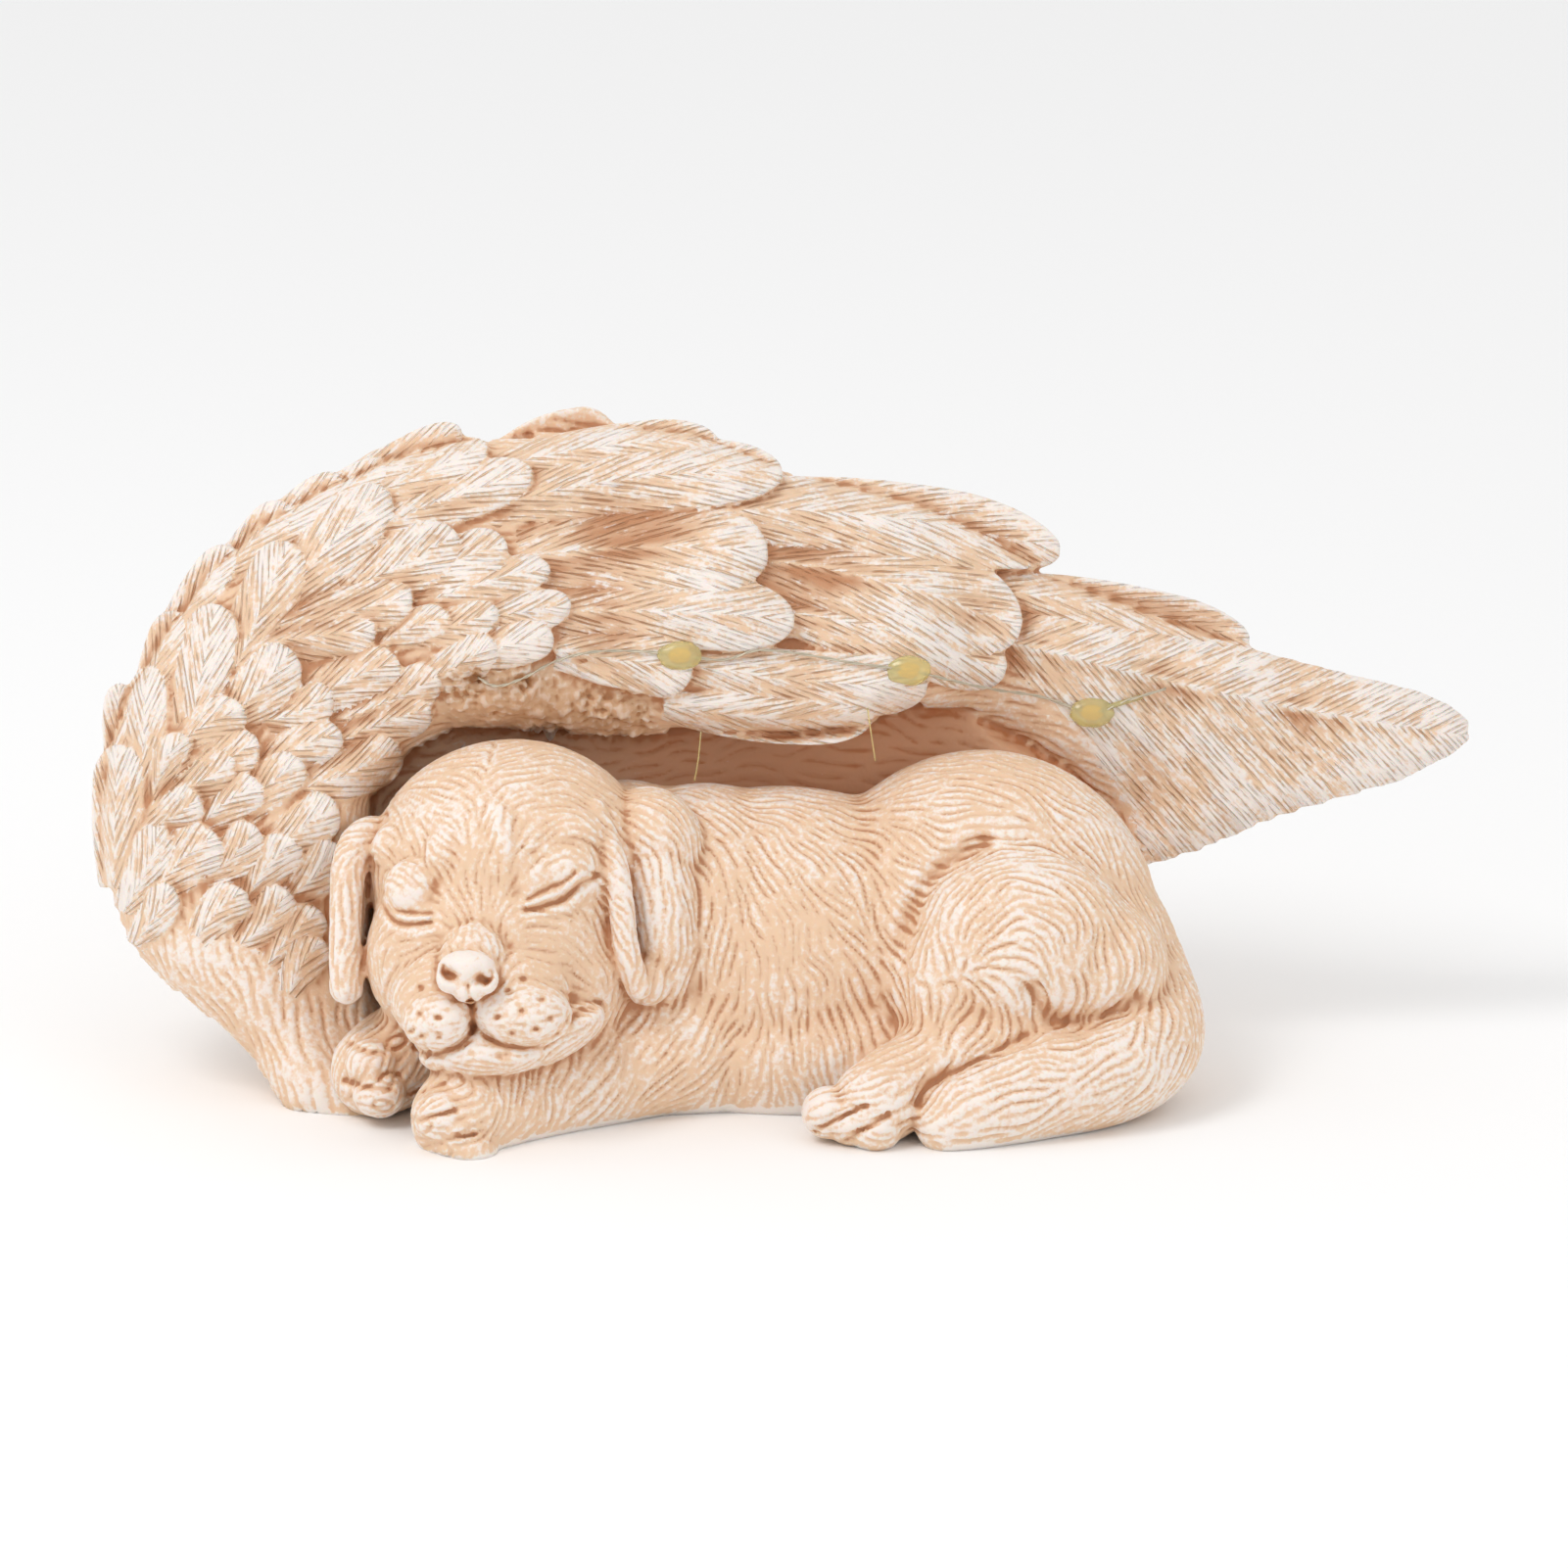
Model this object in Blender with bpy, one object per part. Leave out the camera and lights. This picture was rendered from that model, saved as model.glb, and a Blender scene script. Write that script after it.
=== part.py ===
"""Pet memorial statue: a puppy asleep under one feathered wing, cast in one piece of resin.

A thin wire comes out of a hole in the wing and runs along its feathers, with three small lights
under drops of clear glue. Units are metres, +Z is up, and the puppy looks along -Y.

The figure is laid out as an eye 15 degrees above the table sees it: every place is (across, up,
depth), with depth along the line of sight, in parts of which the statue's length has 210.
"""

import math

import bmesh
import bpy
import numpy as np
from mathutils import Matrix, Vector
from mathutils.bvhtree import BVHTree

# Driving sizes
STATUE_LENGTH = 0.210
WIRE_DIAMETER = 0.0007
LIGHT_LENGTH = 0.0068
LIGHT_WIDTH = 0.0046
LIGHT_HEIGHT = 0.0030
SEAT_GAP = 0.0003
WIRE_HOLE_DIAMETER = 0.0030
WIRE_HOLE_DEPTH = 0.0060
SOLID_TRIANGLES = 8800

# The figure's own measure
PART = STATUE_LENGTH / 210
EYE_ABOVE_TABLE = math.radians(15)
ACROSS = Vector((1, 0, 0))
UPWARD = Vector((0, math.sin(EYE_ABOVE_TABLE), math.cos(EYE_ABOVE_TABLE)))
INWARD = Vector((0, math.cos(EYE_ABOVE_TABLE), -math.sin(EYE_ABOVE_TABLE)))

# Grain of the modelling, in the figure's parts
BODY_GRAIN = 1.2
PUPPY_GRAIN = 0.8
CAST_GRAIN = 0.75

# Masses of the puppy: (across, up, depth), half sizes across, up and in depth, and roll in degrees
TRUNK = (
    ((0, 21, 1), (33, 25, 21), -2),
    ((-12, 24, 0), (21, 22.5, 20), 0),
    ((30, 24, 1), (27, 27.5, 22), 0),
    ((44, 18, 0), (16.5, 22, 19), 20),
    ((10, 6, 0), (44, 14, 19), 0),
    ((-24, 30, 2), (17, 17, 16), 0),
    ((-16, 8, -6), (15, 13, 14), -18),
)
THIGH = (
    ((35, 21.5, -15), (17.5, 15.5, 14), 0),
    ((24, 15, -17), (8, 12, 9), 8),
    ((46.5, 17.5, -12), (11.5, 12, 13), 0),
)
HEAD = (
    ((-41, 33.5, -13), (21.5, 19.5, 19), 8),
    ((-43.5, 22, -19), (18.8, 16.5, 15), 6),
    ((-32, 18, -18), (9.2, 11, 11), 0),
    ((-55.5, 20.5, -19), (7, 10.5, 10), 0),
    ((-43.5, 9.5, -25), (12, 6.2, 11), 6),
)
MUZZLE = (
    ((-45, 15, -29), (13.5, 9.0, 8.5), 6),
    ((-50.8, 11.6, -33), (5.8, 5.0, 6.2), 14),
    ((-39.0, 12.3, -33), (7.8, 5.4, 6.4), -6),
    ((-45.8, 19.5, -32), (5.4, 6.6, 7.4), 0),
    ((-43.8, 6.4, -29.5), (10.4, 3.8, 6.8), 4),
    ((-35.2, 8.6, -27), (9.4, 4.0, 7.0), 24),
)
BROWS = (
    ((-50.4, 35.2, -26.2), (3.6, 6.4, 4.4), -14),
    ((-56.4, 36.6, -20.4), (6.6, 5.4, 4.8), 10),
    ((-41.4, 37.2, -27.6), (3.6, 7.0, 4.6), 12),
    ((-33.6, 39.2, -25.6), (7.6, 4.4, 4.8), -4),
)
NOSE = (
    ((-46.7, 19.2, -39.4), (4.3, 2.6, 3.6), 2),
    ((-49.3, 17.6, -40.0), (1.9, 2.3, 2.4), 0),
    ((-44.0, 17.4, -40.0), (2.1, 2.3, 2.4), 0),
    ((-46.4, 15.8, -39.4), (2.4, 2.0, 2.6), 0),
)
EYELIDS = (
    ((-54.4, 30.6, -26.8), (5.0, 4.8, 3.6), -8),
    ((-33.8, 33.6, -27.8), (6.4, 4.6, 3.5), 20),
)
EARS = (
    ((-64.6, 26, -13), (2.4, 12.6, 7.0), -2),
    ((-18.4, 28, -16), (6.2, 15.6, 8.5), 6),
    ((-19.6, 37.5, -14), (7.6, 8.6, 9.5), 30),
    ((-20.4, 17.2, -20), (3.9, 4.2, 4.2), 0),
)

# Limbs: (across, up, depth) and radius along each
FORELEG = (
    ((-10, 6, -6), 11.0),
    ((-18, 5.5, -11), 9.2),
    ((-30, 1.6, -16), 8.0),
    ((-40, -1.2, -22), 7.4),
    ((-48, -3.4, -28), 7.6),
)
FAR_FORELEG = (
    ((-46, 8, -6), 8.5),
    ((-56, 6, -10), 8.0),
    ((-61, 3.2, -14), 7.2),
)
HIND_LEG = (
    ((40, 7, -16), 8.0),
    ((30, 5.4, -20), 7.6),
    ((20, 2.4, -23), 7.0),
    ((13.5, -1.4, -27), 6.6),
)
TAIL = (
    ((52, 18, -2), 9.0),
    ((54, 9, -10), 9.4),
    ((49, 4.4, -18), 9.0),
    ((38, 1.2, -23), 8.2),
    ((28.6, -2.0, -26.5), 6.8),
    ((24.4, -4.0, -28.4), 5.0),
)
EAR_RIMS = (
    (
        ((-58.5, 37.4, -12), 3.0),
        ((-62.0, 38.4, -15), 3.0),
        ((-64.6, 35.2, -18), 2.8),
        ((-65.3, 28, -20), 2.5),
        ((-65.4, 20.5, -20.5), 2.5),
        ((-65.2, 15.8, -20.5), 2.6),
    ),
    (
        ((-28.2, 42.4, -24), 2.0),
        ((-24.8, 33, -26), 2.0),
        ((-23.4, 22, -26), 2.0),
        ((-21.6, 16, -24), 2.0),
    ),
)
# Paws: middle of the toes, across-step and depth-step from toe to toe, toe radius, toes
PAWS = (
    ((-48.6, -5.6, -31.5), (-2.2, 2.6, -0.6), 4.1, 3),
    ((-61.0, 2.2, -19.0), (1.2, -4.4, -0.4), 4.0, 2),
    ((10.2, -3.6, -28.0), (3.4, -1.0, -0.8), 4.2, 3),
)

# Grooves pressed into what the eye sees: places (across, up) along each, half width, depth
FACE_GROOVES = (
    (((-59.6, 28.6), (-57.8, 26.0), (-55.4, 25.4), (-52.0, 25.9)), 0.75, 1.3),
    (((-38.2, 27.6), (-35.3, 28.3), (-32.5, 29.4), (-30.3, 31.3), (-27.8, 32.8)), 0.75, 1.4),
    (((-51.7, 33.5), (-51.6, 31.0), (-52.4, 27.6)), 1.4, 0.7),
    (((-39.6, 30.0), (-39.4, 33.2), (-37.0, 35.6)), 1.5, 0.6),
    (((-51.3, 20.2), (-51.2, 16.6), (-49.2, 14.8), (-46.4, 13.8)), 0.8, 0.9),
    (((-42.2, 20.2), (-41.9, 17.0), (-43.6, 14.9), (-46.0, 13.8)), 0.8, 0.9),
    (((-46.1, 14.2), (-45.9, 9.8)), 0.75, 1.6),
    (((-45.9, 10.2), (-46.9, 8.5), (-48.8, 7.0), (-52.4, 6.1), (-54.8, 7.0)), 0.8, 1.3),
    (((-45.9, 10.6), (-43.6, 8.6), (-40.9, 7.4), (-37.6, 7.3), (-34.4, 8.5), (-32.0, 11.0)), 0.8, 1.4),
    (((-31.2, 11.8), (-29.6, 12.6), (-27.8, 13.3)), 1.0, 1.5),
    (((-41.5, 6.3), (-41.1, 6.3)), 0.9, 0.9),
)
FACE_DEEPEST = -8.0
BODY_GROOVES = (
    (((30, 37), (23.9, 33.6), (20, 28.1), (18.4, 22.7), (17.8, 17.2), (17.3, 11)), 1.9, 2.0),
    (((37, 15.6), (39.7, 11.7), (45.2, 10.1), (52.4, 14.5)), 1.6, 1.8),
    (((36, 8.4), (28.7, 4.6), (21.6, 1.8), (20, -0.9)), 1.2, 1.5),
)
BODY_DEEPEST = 14.0

# Wing, in the plane that the eye sees
WING_RIM = (
    (-70, -6), (-75, -3.7), (-80.9, 5.3), (-87, 10.6), (-93.6, 15.8), (-99.2, 22), (-102.6, 31),
    (-103.2, 41), (-102, 51), (-98.6, 60), (-93, 69), (-86.5, 78), (-79, 85), (-70, 90.2),
    (-60, 95), (-50, 98), (-38, 99.6), (-26, 100.6), (-14, 99.2), (-4, 95.4), (8, 91.6),
    (20, 88.6), (31, 83.6), (40, 78), (50, 74), (62, 69.6), (76, 65.6), (88, 62.6), (97, 60.4),
    (101.4, 58.4), (104.6, 55.8), (104.8, 53.2), (102.5, 50.9), (94, 46.4), (84, 43.6), (74, 40.4),
    (64, 36.0), (54, 33),
)
CANOPY_EDGE = (
    (50, 41), (44, 48), (36, 53), (27, 57.5), (20, 57.8), (12, 54.6), (0, 53.6), (-14, 54),
    (-27, 53), (-40, 54.6), (-50, 54), (-57, 50), (-62, 43), (-62, 34), (-60, 20), (-57, 8),
    (-55, -6),
)
WALL_EDGE = ((36, 26), (16, 18), (-6, 8), (-30, 0), (-52, -6))
# Middle depth and half thickness of the wing at (across, up)
WING_BODY = (
    ((-70, -3), -6, 9), ((-86, 14), -2, 11), ((-99, 40), 3, 12), ((-84, 56), 1, 15),
    ((-70, 42), -4, 13), ((-66, 78), 5, 14), ((-45, 95), 10, 13), ((-45, 66), 3, 18),
    ((-20, 94), 12, 12), ((-14, 66), 6, 17), ((10, 86), 11, 11), ((14, 62), 8, 16),
    ((38, 76), 11, 7), ((44, 56), 11, 9), ((64, 60), 12, 5), ((60, 42), 14, 6),
    ((84, 55), 14, 4), ((103, 55), 15, 3), ((-50, 12), 16, 9), ((0, 22), 19, 8),
    ((34, 32), 18, 6), ((-61, 30), 4, 11), ((-58, 8), 1, 9), ((-57, 48), 4, 13),
)
BLEND_REACH = 9.0
WALL_THICKNESS = 14.0
# The canopy's edge rolls back over its lip, which widens to the right of LIP_SPREAD_FROM
LIP_REACH = 5.0
LIP_DEPTH = 9.0
LIP_SPREAD = 0.45
LIP_SPREAD_FROM = 14.0
WING_CELL = 1.0

# Long feathers: root and tip (across, up), width, rise of the tip above the wing, bend
WING_TIP = (104.8, 53.4)
LONG_FEATHERS = (
    ((-44, 94), (-10.2, 98.6), 7.0, 2.6, 1.0),
    ((-44, 88), (-0.2, 93.6), 10.5, 3.4, 1.6),
    ((-26, 86), (42.0, 81.6), 11.5, 3.0, 3.4),
    ((-40, 80), (-2.4, 81.0), 13.6, 2.4, 1.4),
    ((-36, 72), (1.6, 70.8), 11.0, 2.2, 0.6),
    ((-6, 80), (35.9, 69.6), 14.5, 2.6, 2.0),
    ((0, 72), (33.6, 63.2), 11.0, 1.8, 1.2),
    ((-34, 66), (-13.8, 62.6), 9.0, 2.0, 0.4),
    ((-14, 64), (21.6, 60.6), 9.2, 2.2, -0.6),
    ((-18, 58), (13.4, 56.0), 7.4, 1.8, -1.0),
    ((24, 76), (71, 68.0), 8.0, 0.6, 1.4),
    ((28, 69.5), WING_TIP, 16.0, 1.6, -1.4),
)
# Width of the vane that hangs below the wing tip's own feather, how fast it narrows, how its
# root end slants, and how far that end folds back behind the puppy
TIP_VANE = 42.0
TIP_VANE_TAPER = 0.52
TIP_VANE_SLANT = 0.75
TIP_VANE_FOLD = 12.0
# Small feathers on the front: root and tip (across, up), width. Each is drawn out at its root.
COVERTS = (
    ((-100.9, 36.0), (-100.2, 52.1), 8.4), ((-100.9, 51.5), (-100.3, 61.4), 4.8),
    ((-96.3, 49.3), (-95.7, 63.9), 6.8), ((-95.7, 60.3), (-91.9, 72.3), 6.0),
    ((-88.0, 58.8), (-85.3, 73.2), 8.6), ((-91.7, 69.9), (-83.6, 82.1), 6.4),
    ((-80.2, 68.4), (-74.3, 82.5), 9.0), ((-82.5, 80.2), (-75.1, 88.4), 6.4),
    ((-82.5, 80.2), (-67.3, 92.9), 6.4), ((-72.0, 86.0), (-60.3, 95.0), 5.6),
    ((-67.7, 90.6), (-49.1, 100.2), 6.4), ((-75.1, 73.6), (-60.1, 90.7), 10.0),
    ((-62.5, 89.8), (-45.0, 97.6), 6.8), ((-57.4, 86.1), (-38.0, 93.5), 8.0),
    ((-64.7, 75.8), (-49.1, 83.6), 9.4), ((-52.9, 77.3), (-41.7, 82.5), 7.6),
    ((-73.6, 70.7), (-55.7, 74.3), 8.0), ((-76.6, 67.0), (-61.2, 69.3), 7.4),
    ((-81.7, 57.4), (-73.7, 66.2), 8.4), ((-58.8, 67.7), (-50.1, 71.4), 5.4),
    ((-53.7, 69.2), (-42.8, 72.1), 5.6), ((-47.8, 75.1), (-35.1, 78.6), 5.8),
    ((-44.1, 71.8), (-31.9, 73.2), 6.0), ((-45.6, 64.7), (-34.5, 68.4), 6.6),
    ((-52.9, 62.5), (-43.2, 67.3), 6.4), ((-69.9, 58.8), (-57.7, 64.7), 7.6),
    ((-63.3, 57.4), (-51.6, 62.5), 7.4), ((-64.7, 52.9), (-52.9, 57.4), 7.0),
    ((-68.4, 47.0), (-57.7, 51.5), 7.6), ((-75.1, 50.0), (-66.2, 53.7), 6.4),
    ((-75.1, 56.6), (-67.7, 59.6), 6.4), ((-88.7, 52.9), (-80.8, 57.4), 6.6),
    ((-88.7, 48.5), (-78.6, 52.6), 6.6), ((-93.5, 46.3), (-89.8, 53.7), 4.8),
    ((-90.6, 45.6), (-82.5, 49.6), 6.0), ((-85.4, 41.1), (-78.4, 46.3), 6.8),
    ((-95.0, 40.4), (-87.5, 44.1), 7.0), ((-78.8, 43.4), (-72.1, 49.6), 6.8),
    ((-75.1, 38.2), (-67.0, 43.4), 7.4), ((-92.8, 31.5), (-85.0, 38.6), 8.6),
    ((-85.0, 33.8), (-78.8, 39.7), 6.6), ((-78.8, 30.8), (-73.2, 37.8), 7.0),
    ((-72.9, 30.8), (-66.2, 36.7), 6.6), ((-86.1, 24.9), (-80.8, 30.1), 6.6),
    ((-79.5, 24.2), (-74.3, 30.1), 6.6), ((-75.1, 21.2), (-69.5, 27.1), 6.6),
    ((-98.0, 30.1), (-93.5, 39.7), 6.6), ((-72.9, 16.8), (-69.2, 22.7), 6.0),
    ((-96.5, 24.2), (-92.0, 31.0), 5.6),
)
COVERT_RISE = 2.6
COVERT_STRETCH = 1.35
# Direction that the small feathers point in, in degrees above the right, at (across, up)
FEATHER_WAY = (
    ((-78, 6), 112), ((-98, 26), 104), ((-102, 45), 88), ((-96, 64), 64), ((-84, 80), 50),
    ((-66, 92), 30), ((-48, 98), 14), ((-84, 26), 88), ((-72, 22), 74), ((-84, 46), 62),
    ((-72, 42), 42), ((-76, 62), 46), ((-62, 56), 22), ((-64, 72), 34), ((-48, 62), 10),
    ((-48, 76), 20), ((-36, 58), 4), ((-36, 92), 8),
)
LONG_RISE = 1.3
# Small feathers on the back, plainer: rows of one size that end along a slanting line
BACK_STEP = 10.8
BACK_ROW = 11.1
BACK_LENGTH = 19.6
BACK_WIDTH = 12.4
BACK_RISE = 3.0
BACK_ROOM = 4.0
BACK_TIP_ROOM = 2.0
BACK_END = ((-60.0, 0.0), (-34.0, 70.0))
FEATHER_CELL = 0.9
FEATHER_SINK = 0.6
FEATHER_THICKNESS = 2.4
QUILL_RISE = 0.4
QUILL_WIDTH = 0.6
CROWN = 0.9

# What the trimming keeps finest: the face's middle and reach, and how strongly
FACE_MIDDLE = (-45.0, 20.0, -32.0)
FACE_REACH = (17.0, 18.0, 16.0)
FACE_KEEPING = 9e-5

# Lights along the wing, (across, up), and the wire's way between them
WIRE_HOLE = (-46.0, 62.2)
LIGHTS = ((-15.6, 65.4), (18.8, 63.2), (46.8, 57.0))
WIRE_WAY = (
    (-46.0, 62.2), (-43.0, 60.8), (-39.0, 62.0), (-34.0, 64.6), (-28.0, 66.0), (-21.0, 66.0),
    (-15.6, 65.4), (-9.0, 64.8), (-4.0, 66.2), (2.0, 65.8), (10.0, 64.4), (18.8, 63.2),
    (25.0, 61.8), (32.0, 60.4), (39.0, 59.4), (46.8, 57.0), (52.0, 58.8), (58.0, 60.6),
)
# Colour, roughness and metallic of each material
RESIN = ((0.80, 0.58, 0.40, 1), 0.62, 0.0)
GLUE = ((0.78, 0.62, 0.24, 1), 0.18, 0.0)
WIRE = ((0.62, 0.58, 0.50, 1), 0.35, 0.9)

DROP_SINK = 0.5
DROP_EDGE = 0.25
WIRE_CLEARANCE = 0.5


def seen(across, up, depth):
    """The point in metres at a place that is given as the eye sees it."""
    return (ACROSS * across + UPWARD * up + INWARD * depth) * PART


def blended(table, across, up, column):
    """A column of a table of places, blended smoothly between the places nearby."""
    total = np.zeros(np.shape(across))
    weight = np.full(np.shape(across), 1e-9)
    for row in table:
        square = (across - row[0][0]) ** 2 + (up - row[0][1]) ** 2
        share = 1.0 / (square + BLEND_REACH**2) ** 2
        total += share * row[column]
        weight += share
    return total / weight


def line_distance(line, across, up):
    """How far places lie from an open line of (across, up) points."""
    best = np.full(np.shape(across), 1e9)
    for (ax, ay), (bx, by) in zip(line, line[1:]):
        dx, dy = bx - ax, by - ay
        share = np.clip(((across - ax) * dx + (up - ay) * dy) / (dx * dx + dy * dy), 0, 1)
        best = np.minimum(best, np.hypot(across - ax - share * dx, up - ay - share * dy))
    return best


def rim_distance(across, up):
    """How far a place lies inside the wing's rim: below zero outside it."""
    best = line_distance(WING_RIM, across, up)
    return np.where(inside(WING_RIM + WALL_EDGE, across, up), best, -best)


def inside(outline, across, up):
    """Whether places lie inside a closed outline."""
    found = np.zeros(np.shape(across), bool)
    for (ax, ay), (bx, by) in zip(outline, outline[1:] + outline[:1]):
        if ay == by:
            continue
        crosses = (ay > up) != (by > up)
        found ^= crosses & (across < ax + (up - ay) * (bx - ax) / (by - ay))
    return found


def wing_faces(across, up):
    """Depths of the wing's front and back, which meet in a round rim."""
    across, up = np.asarray(across, float), np.asarray(up, float)
    middle = blended(WING_BODY, across, up, 1)
    half = blended(WING_BODY, across, up, 2)
    share = np.clip(rim_distance(across, up) / half, 0, 1)
    swell = half * np.sqrt(1 - (1 - share) ** 2)
    reach = LIP_REACH + LIP_SPREAD * np.maximum(0, across - LIP_SPREAD_FROM)
    past_lip = 1 - np.clip(line_distance(CANOPY_EDGE, across, up) / reach, 0, 1)
    return middle - swell + LIP_DEPTH * (1 - np.sqrt(1 - past_lip**2)), middle + swell


def mesh_object(name, shape):
    """A new object that holds a bmesh's shape."""
    mesh = bpy.data.meshes.new(name)
    shape.to_mesh(mesh)
    shape.free()
    made = bpy.data.objects.new(name, mesh)
    bpy.context.scene.collection.objects.link(made)
    return made


def add_ball(shape, place, half_sizes, roll=0.0):
    """An ellipsoid whose half sizes run across, up and in depth, rolled about the line of sight."""
    axes = Matrix((ACROSS, UPWARD, INWARD)).transposed().to_4x4()
    turn = axes @ Matrix.Rotation(math.radians(roll), 4, "Z")
    size = Matrix.Diagonal((*(PART * half for half in half_sizes), 1))
    where = Matrix.Translation(seen(*place))
    bmesh.ops.create_icosphere(shape, subdivisions=3, radius=1, matrix=where @ turn @ size)


def smooth_way(points, steps):
    """Points along a smooth curve through the given ones, of any number of columns."""
    rows = np.array(points, float)
    rows = np.vstack([2 * rows[0] - rows[1], rows, 2 * rows[-1] - rows[-2]])
    found = []
    for a, b, c, d in zip(rows, rows[1:], rows[2:], rows[3:]):
        for t in np.arange(steps) / steps:
            found.append(
                b
                + 0.5 * t * (c - a)
                + t * t * (a - 2.5 * b + 2 * c - 0.5 * d)
                + t**3 * (1.5 * (b - c) + 0.5 * (d - a))
            )
    return [*found, rows[-2]]


def add_limb(shape, stations):
    """A round limb through (place, radius) stations."""
    rows = [(*place, radius) for place, radius in stations]
    for across, up, depth, radius in smooth_way(rows, 6):
        add_ball(shape, (across, up, depth), (radius,) * 3)


def add_paw(shape, middle, step, radius, toes):
    """Toes side by side, each a small round knuckle."""
    for number in range(toes):
        offset = number - (toes - 1) / 2
        place = [m + offset * s for m, s in zip(middle, step)]
        add_ball(shape, place, (radius, radius * 0.95, radius * 1.15))


def melted(name, shapes, grain, softening):
    """The objects' volumes melted into one closed skin, softened a little."""
    joined = bmesh.new()
    for thing in shapes:
        joined.from_mesh(thing.data)
        bpy.data.objects.remove(thing)
    made = mesh_object(name, joined)
    skin = made.modifiers.new("skin", "REMESH")
    skin.mode = "VOXEL"
    skin.voxel_size = grain * PART
    soft = made.modifiers.new("soft", "SMOOTH")
    soft.factor = 0.5
    soft.iterations = softening
    return settled(made)


def settled(thing):
    """The object with its modifiers applied."""
    graph = bpy.context.evaluated_depsgraph_get()
    mesh = bpy.data.meshes.new_from_object(thing.evaluated_get(graph))
    thing.modifiers.clear()
    thing.data = mesh
    return thing


def make_puppy():
    """The puppy: head on its forepaws, body, folded hind leg and the tail round its side."""
    rough = bmesh.new()
    for group in (TRUNK, HEAD, THIGH):
        for mass in group:
            add_ball(rough, *mass)
    for limb in (FORELEG, FAR_FORELEG, HIND_LEG):
        add_limb(rough, limb)
    body = melted("puppy_body", [mesh_object("puppy_masses", rough)], BODY_GRAIN, 5)
    fine = bmesh.new()
    for group in (MUZZLE, BROWS, NOSE, EYELIDS, EARS):
        for mass in group:
            add_ball(fine, *mass)
    add_limb(fine, TAIL)
    for rim in EAR_RIMS:
        add_limb(fine, rim)
    for paw in PAWS:
        add_paw(fine, *paw)
    return melted("puppy", [body, mesh_object("puppy_details", fine)], PUPPY_GRAIN, 2)


def add_patch(shape, columns, rows, plan):
    """A closed patch with a front and a back face. plan maps a flat grid to places on both."""
    deep = shape.verts.layers.float_vector.get("deep") or shape.verts.layers.float_vector.new("deep")
    verts = bmesh.ops.create_grid(shape, x_segments=columns, y_segments=rows, size=0.5)["verts"]
    flat = np.array([vertex.co[:2] for vertex in verts]) + 0.5
    across, up, front, back, kept = plan(flat[:, 0], flat[:, 1])
    for vertex, a, u, f, b in zip(verts, across, up, front, back):
        vertex.co = seen(a, u, f)
        vertex[deep] = seen(a, u, b)
    lost = {vertex for vertex, keep in zip(verts, kept) if not keep}
    faces = {face for vertex, keep in zip(verts, kept) if keep for face in vertex.link_faces}
    faces = [face for face in faces if lost.isdisjoint(face.verts)]
    bmesh.ops.delete(shape, geom=list(lost), context="VERTS")
    made = bmesh.ops.extrude_face_region(shape, geom=faces, use_keep_orig=True)
    for item in made["geom"]:
        if isinstance(item, bmesh.types.BMVert):
            item.co = item[deep]


def add_slab(shape, outline, thickness):
    """A piece of the wing's body inside an outline, as thick as the wing or as given."""
    low, high = np.min(outline, axis=0), np.max(outline, axis=0)
    columns, rows = (int((b - a) / WING_CELL) + 1 for a, b in zip(low, high))

    def plan(along, over):
        across = low[0] + along * (high[0] - low[0])
        up = low[1] + over * (high[1] - low[1])
        front, back = wing_faces(across, up)
        front = np.maximum(front + FEATHER_SINK, back - thickness)
        back = np.maximum(back - FEATHER_SINK, front + WING_CELL)
        kept = inside(outline, across, up)
        return across, up, front, back, kept

    add_patch(shape, columns, rows, plan)


def add_feather(shape, root, tip, width, rise, bend, side, vane=0.0):
    """A feather on the wing's front (side -1) or back (side 1), its tip standing clear of it.

    A vane is the width of its lower half at the root where that runs on down to the wing's rim.
    """
    (ax, ay), (bx, by) = root, tip
    length = math.hypot(bx - ax, by - ay)
    dx, dy = (bx - ax) / length, (by - ay) / length

    def plan(along, over):
        offset = 2 * over - 1
        swelling = 0.62 + 0.38 * np.sin(np.clip(along / 0.6, 0, 1) * math.pi / 2)
        rounding = np.sqrt(1 - 0.97 * (np.clip(along - 0.74, 0, 1) / 0.26) ** 2)
        half = width / 2 * swelling * rounding
        if vane:
            wide = vane * (1 - along) ** TIP_VANE_TAPER + WING_CELL / 2
            wide = np.minimum(wide, width / 2 + TIP_VANE_SLANT * length * along)
            half = np.where(offset < 0, wide, half)
        sideways = offset * half + bend * 4 * along * (1 - along)
        across = ax + dx * length * along - dy * sideways
        up = ay + dy * length * along + dx * sideways
        front, back = wing_faces(across, up)
        face = back if side > 0 else front
        quill = QUILL_RISE * np.exp(-((offset * half / QUILL_WIDTH) ** 2))
        lift = rise * along**0.8 + CROWN * (1 - offset**2) * min(1, width / 8) + quill
        if vane and side < 0:
            lift -= TIP_VANE_FOLD * (1 - along) ** 2 * np.clip(-offset, 0, 1)
        outer = face + side * lift
        on_wing = rim_distance(across, up) > FEATHER_SINK
        inner = np.where(on_wing, face - side * 2 * FEATHER_SINK, outer - side * FEATHER_THICKNESS)
        inner = side * np.minimum(side * inner, side * outer - FEATHER_THICKNESS)
        near, far = (inner, outer) if side > 0 else (outer, inner)
        return across, up, near, far, (rim_distance(across, up) > 0) | (not vane)

    columns = max(6, int(length / FEATHER_CELL))
    rows = max(6, int(max(width, vane) / FEATHER_CELL))
    add_patch(shape, columns, rows, plan)


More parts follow.
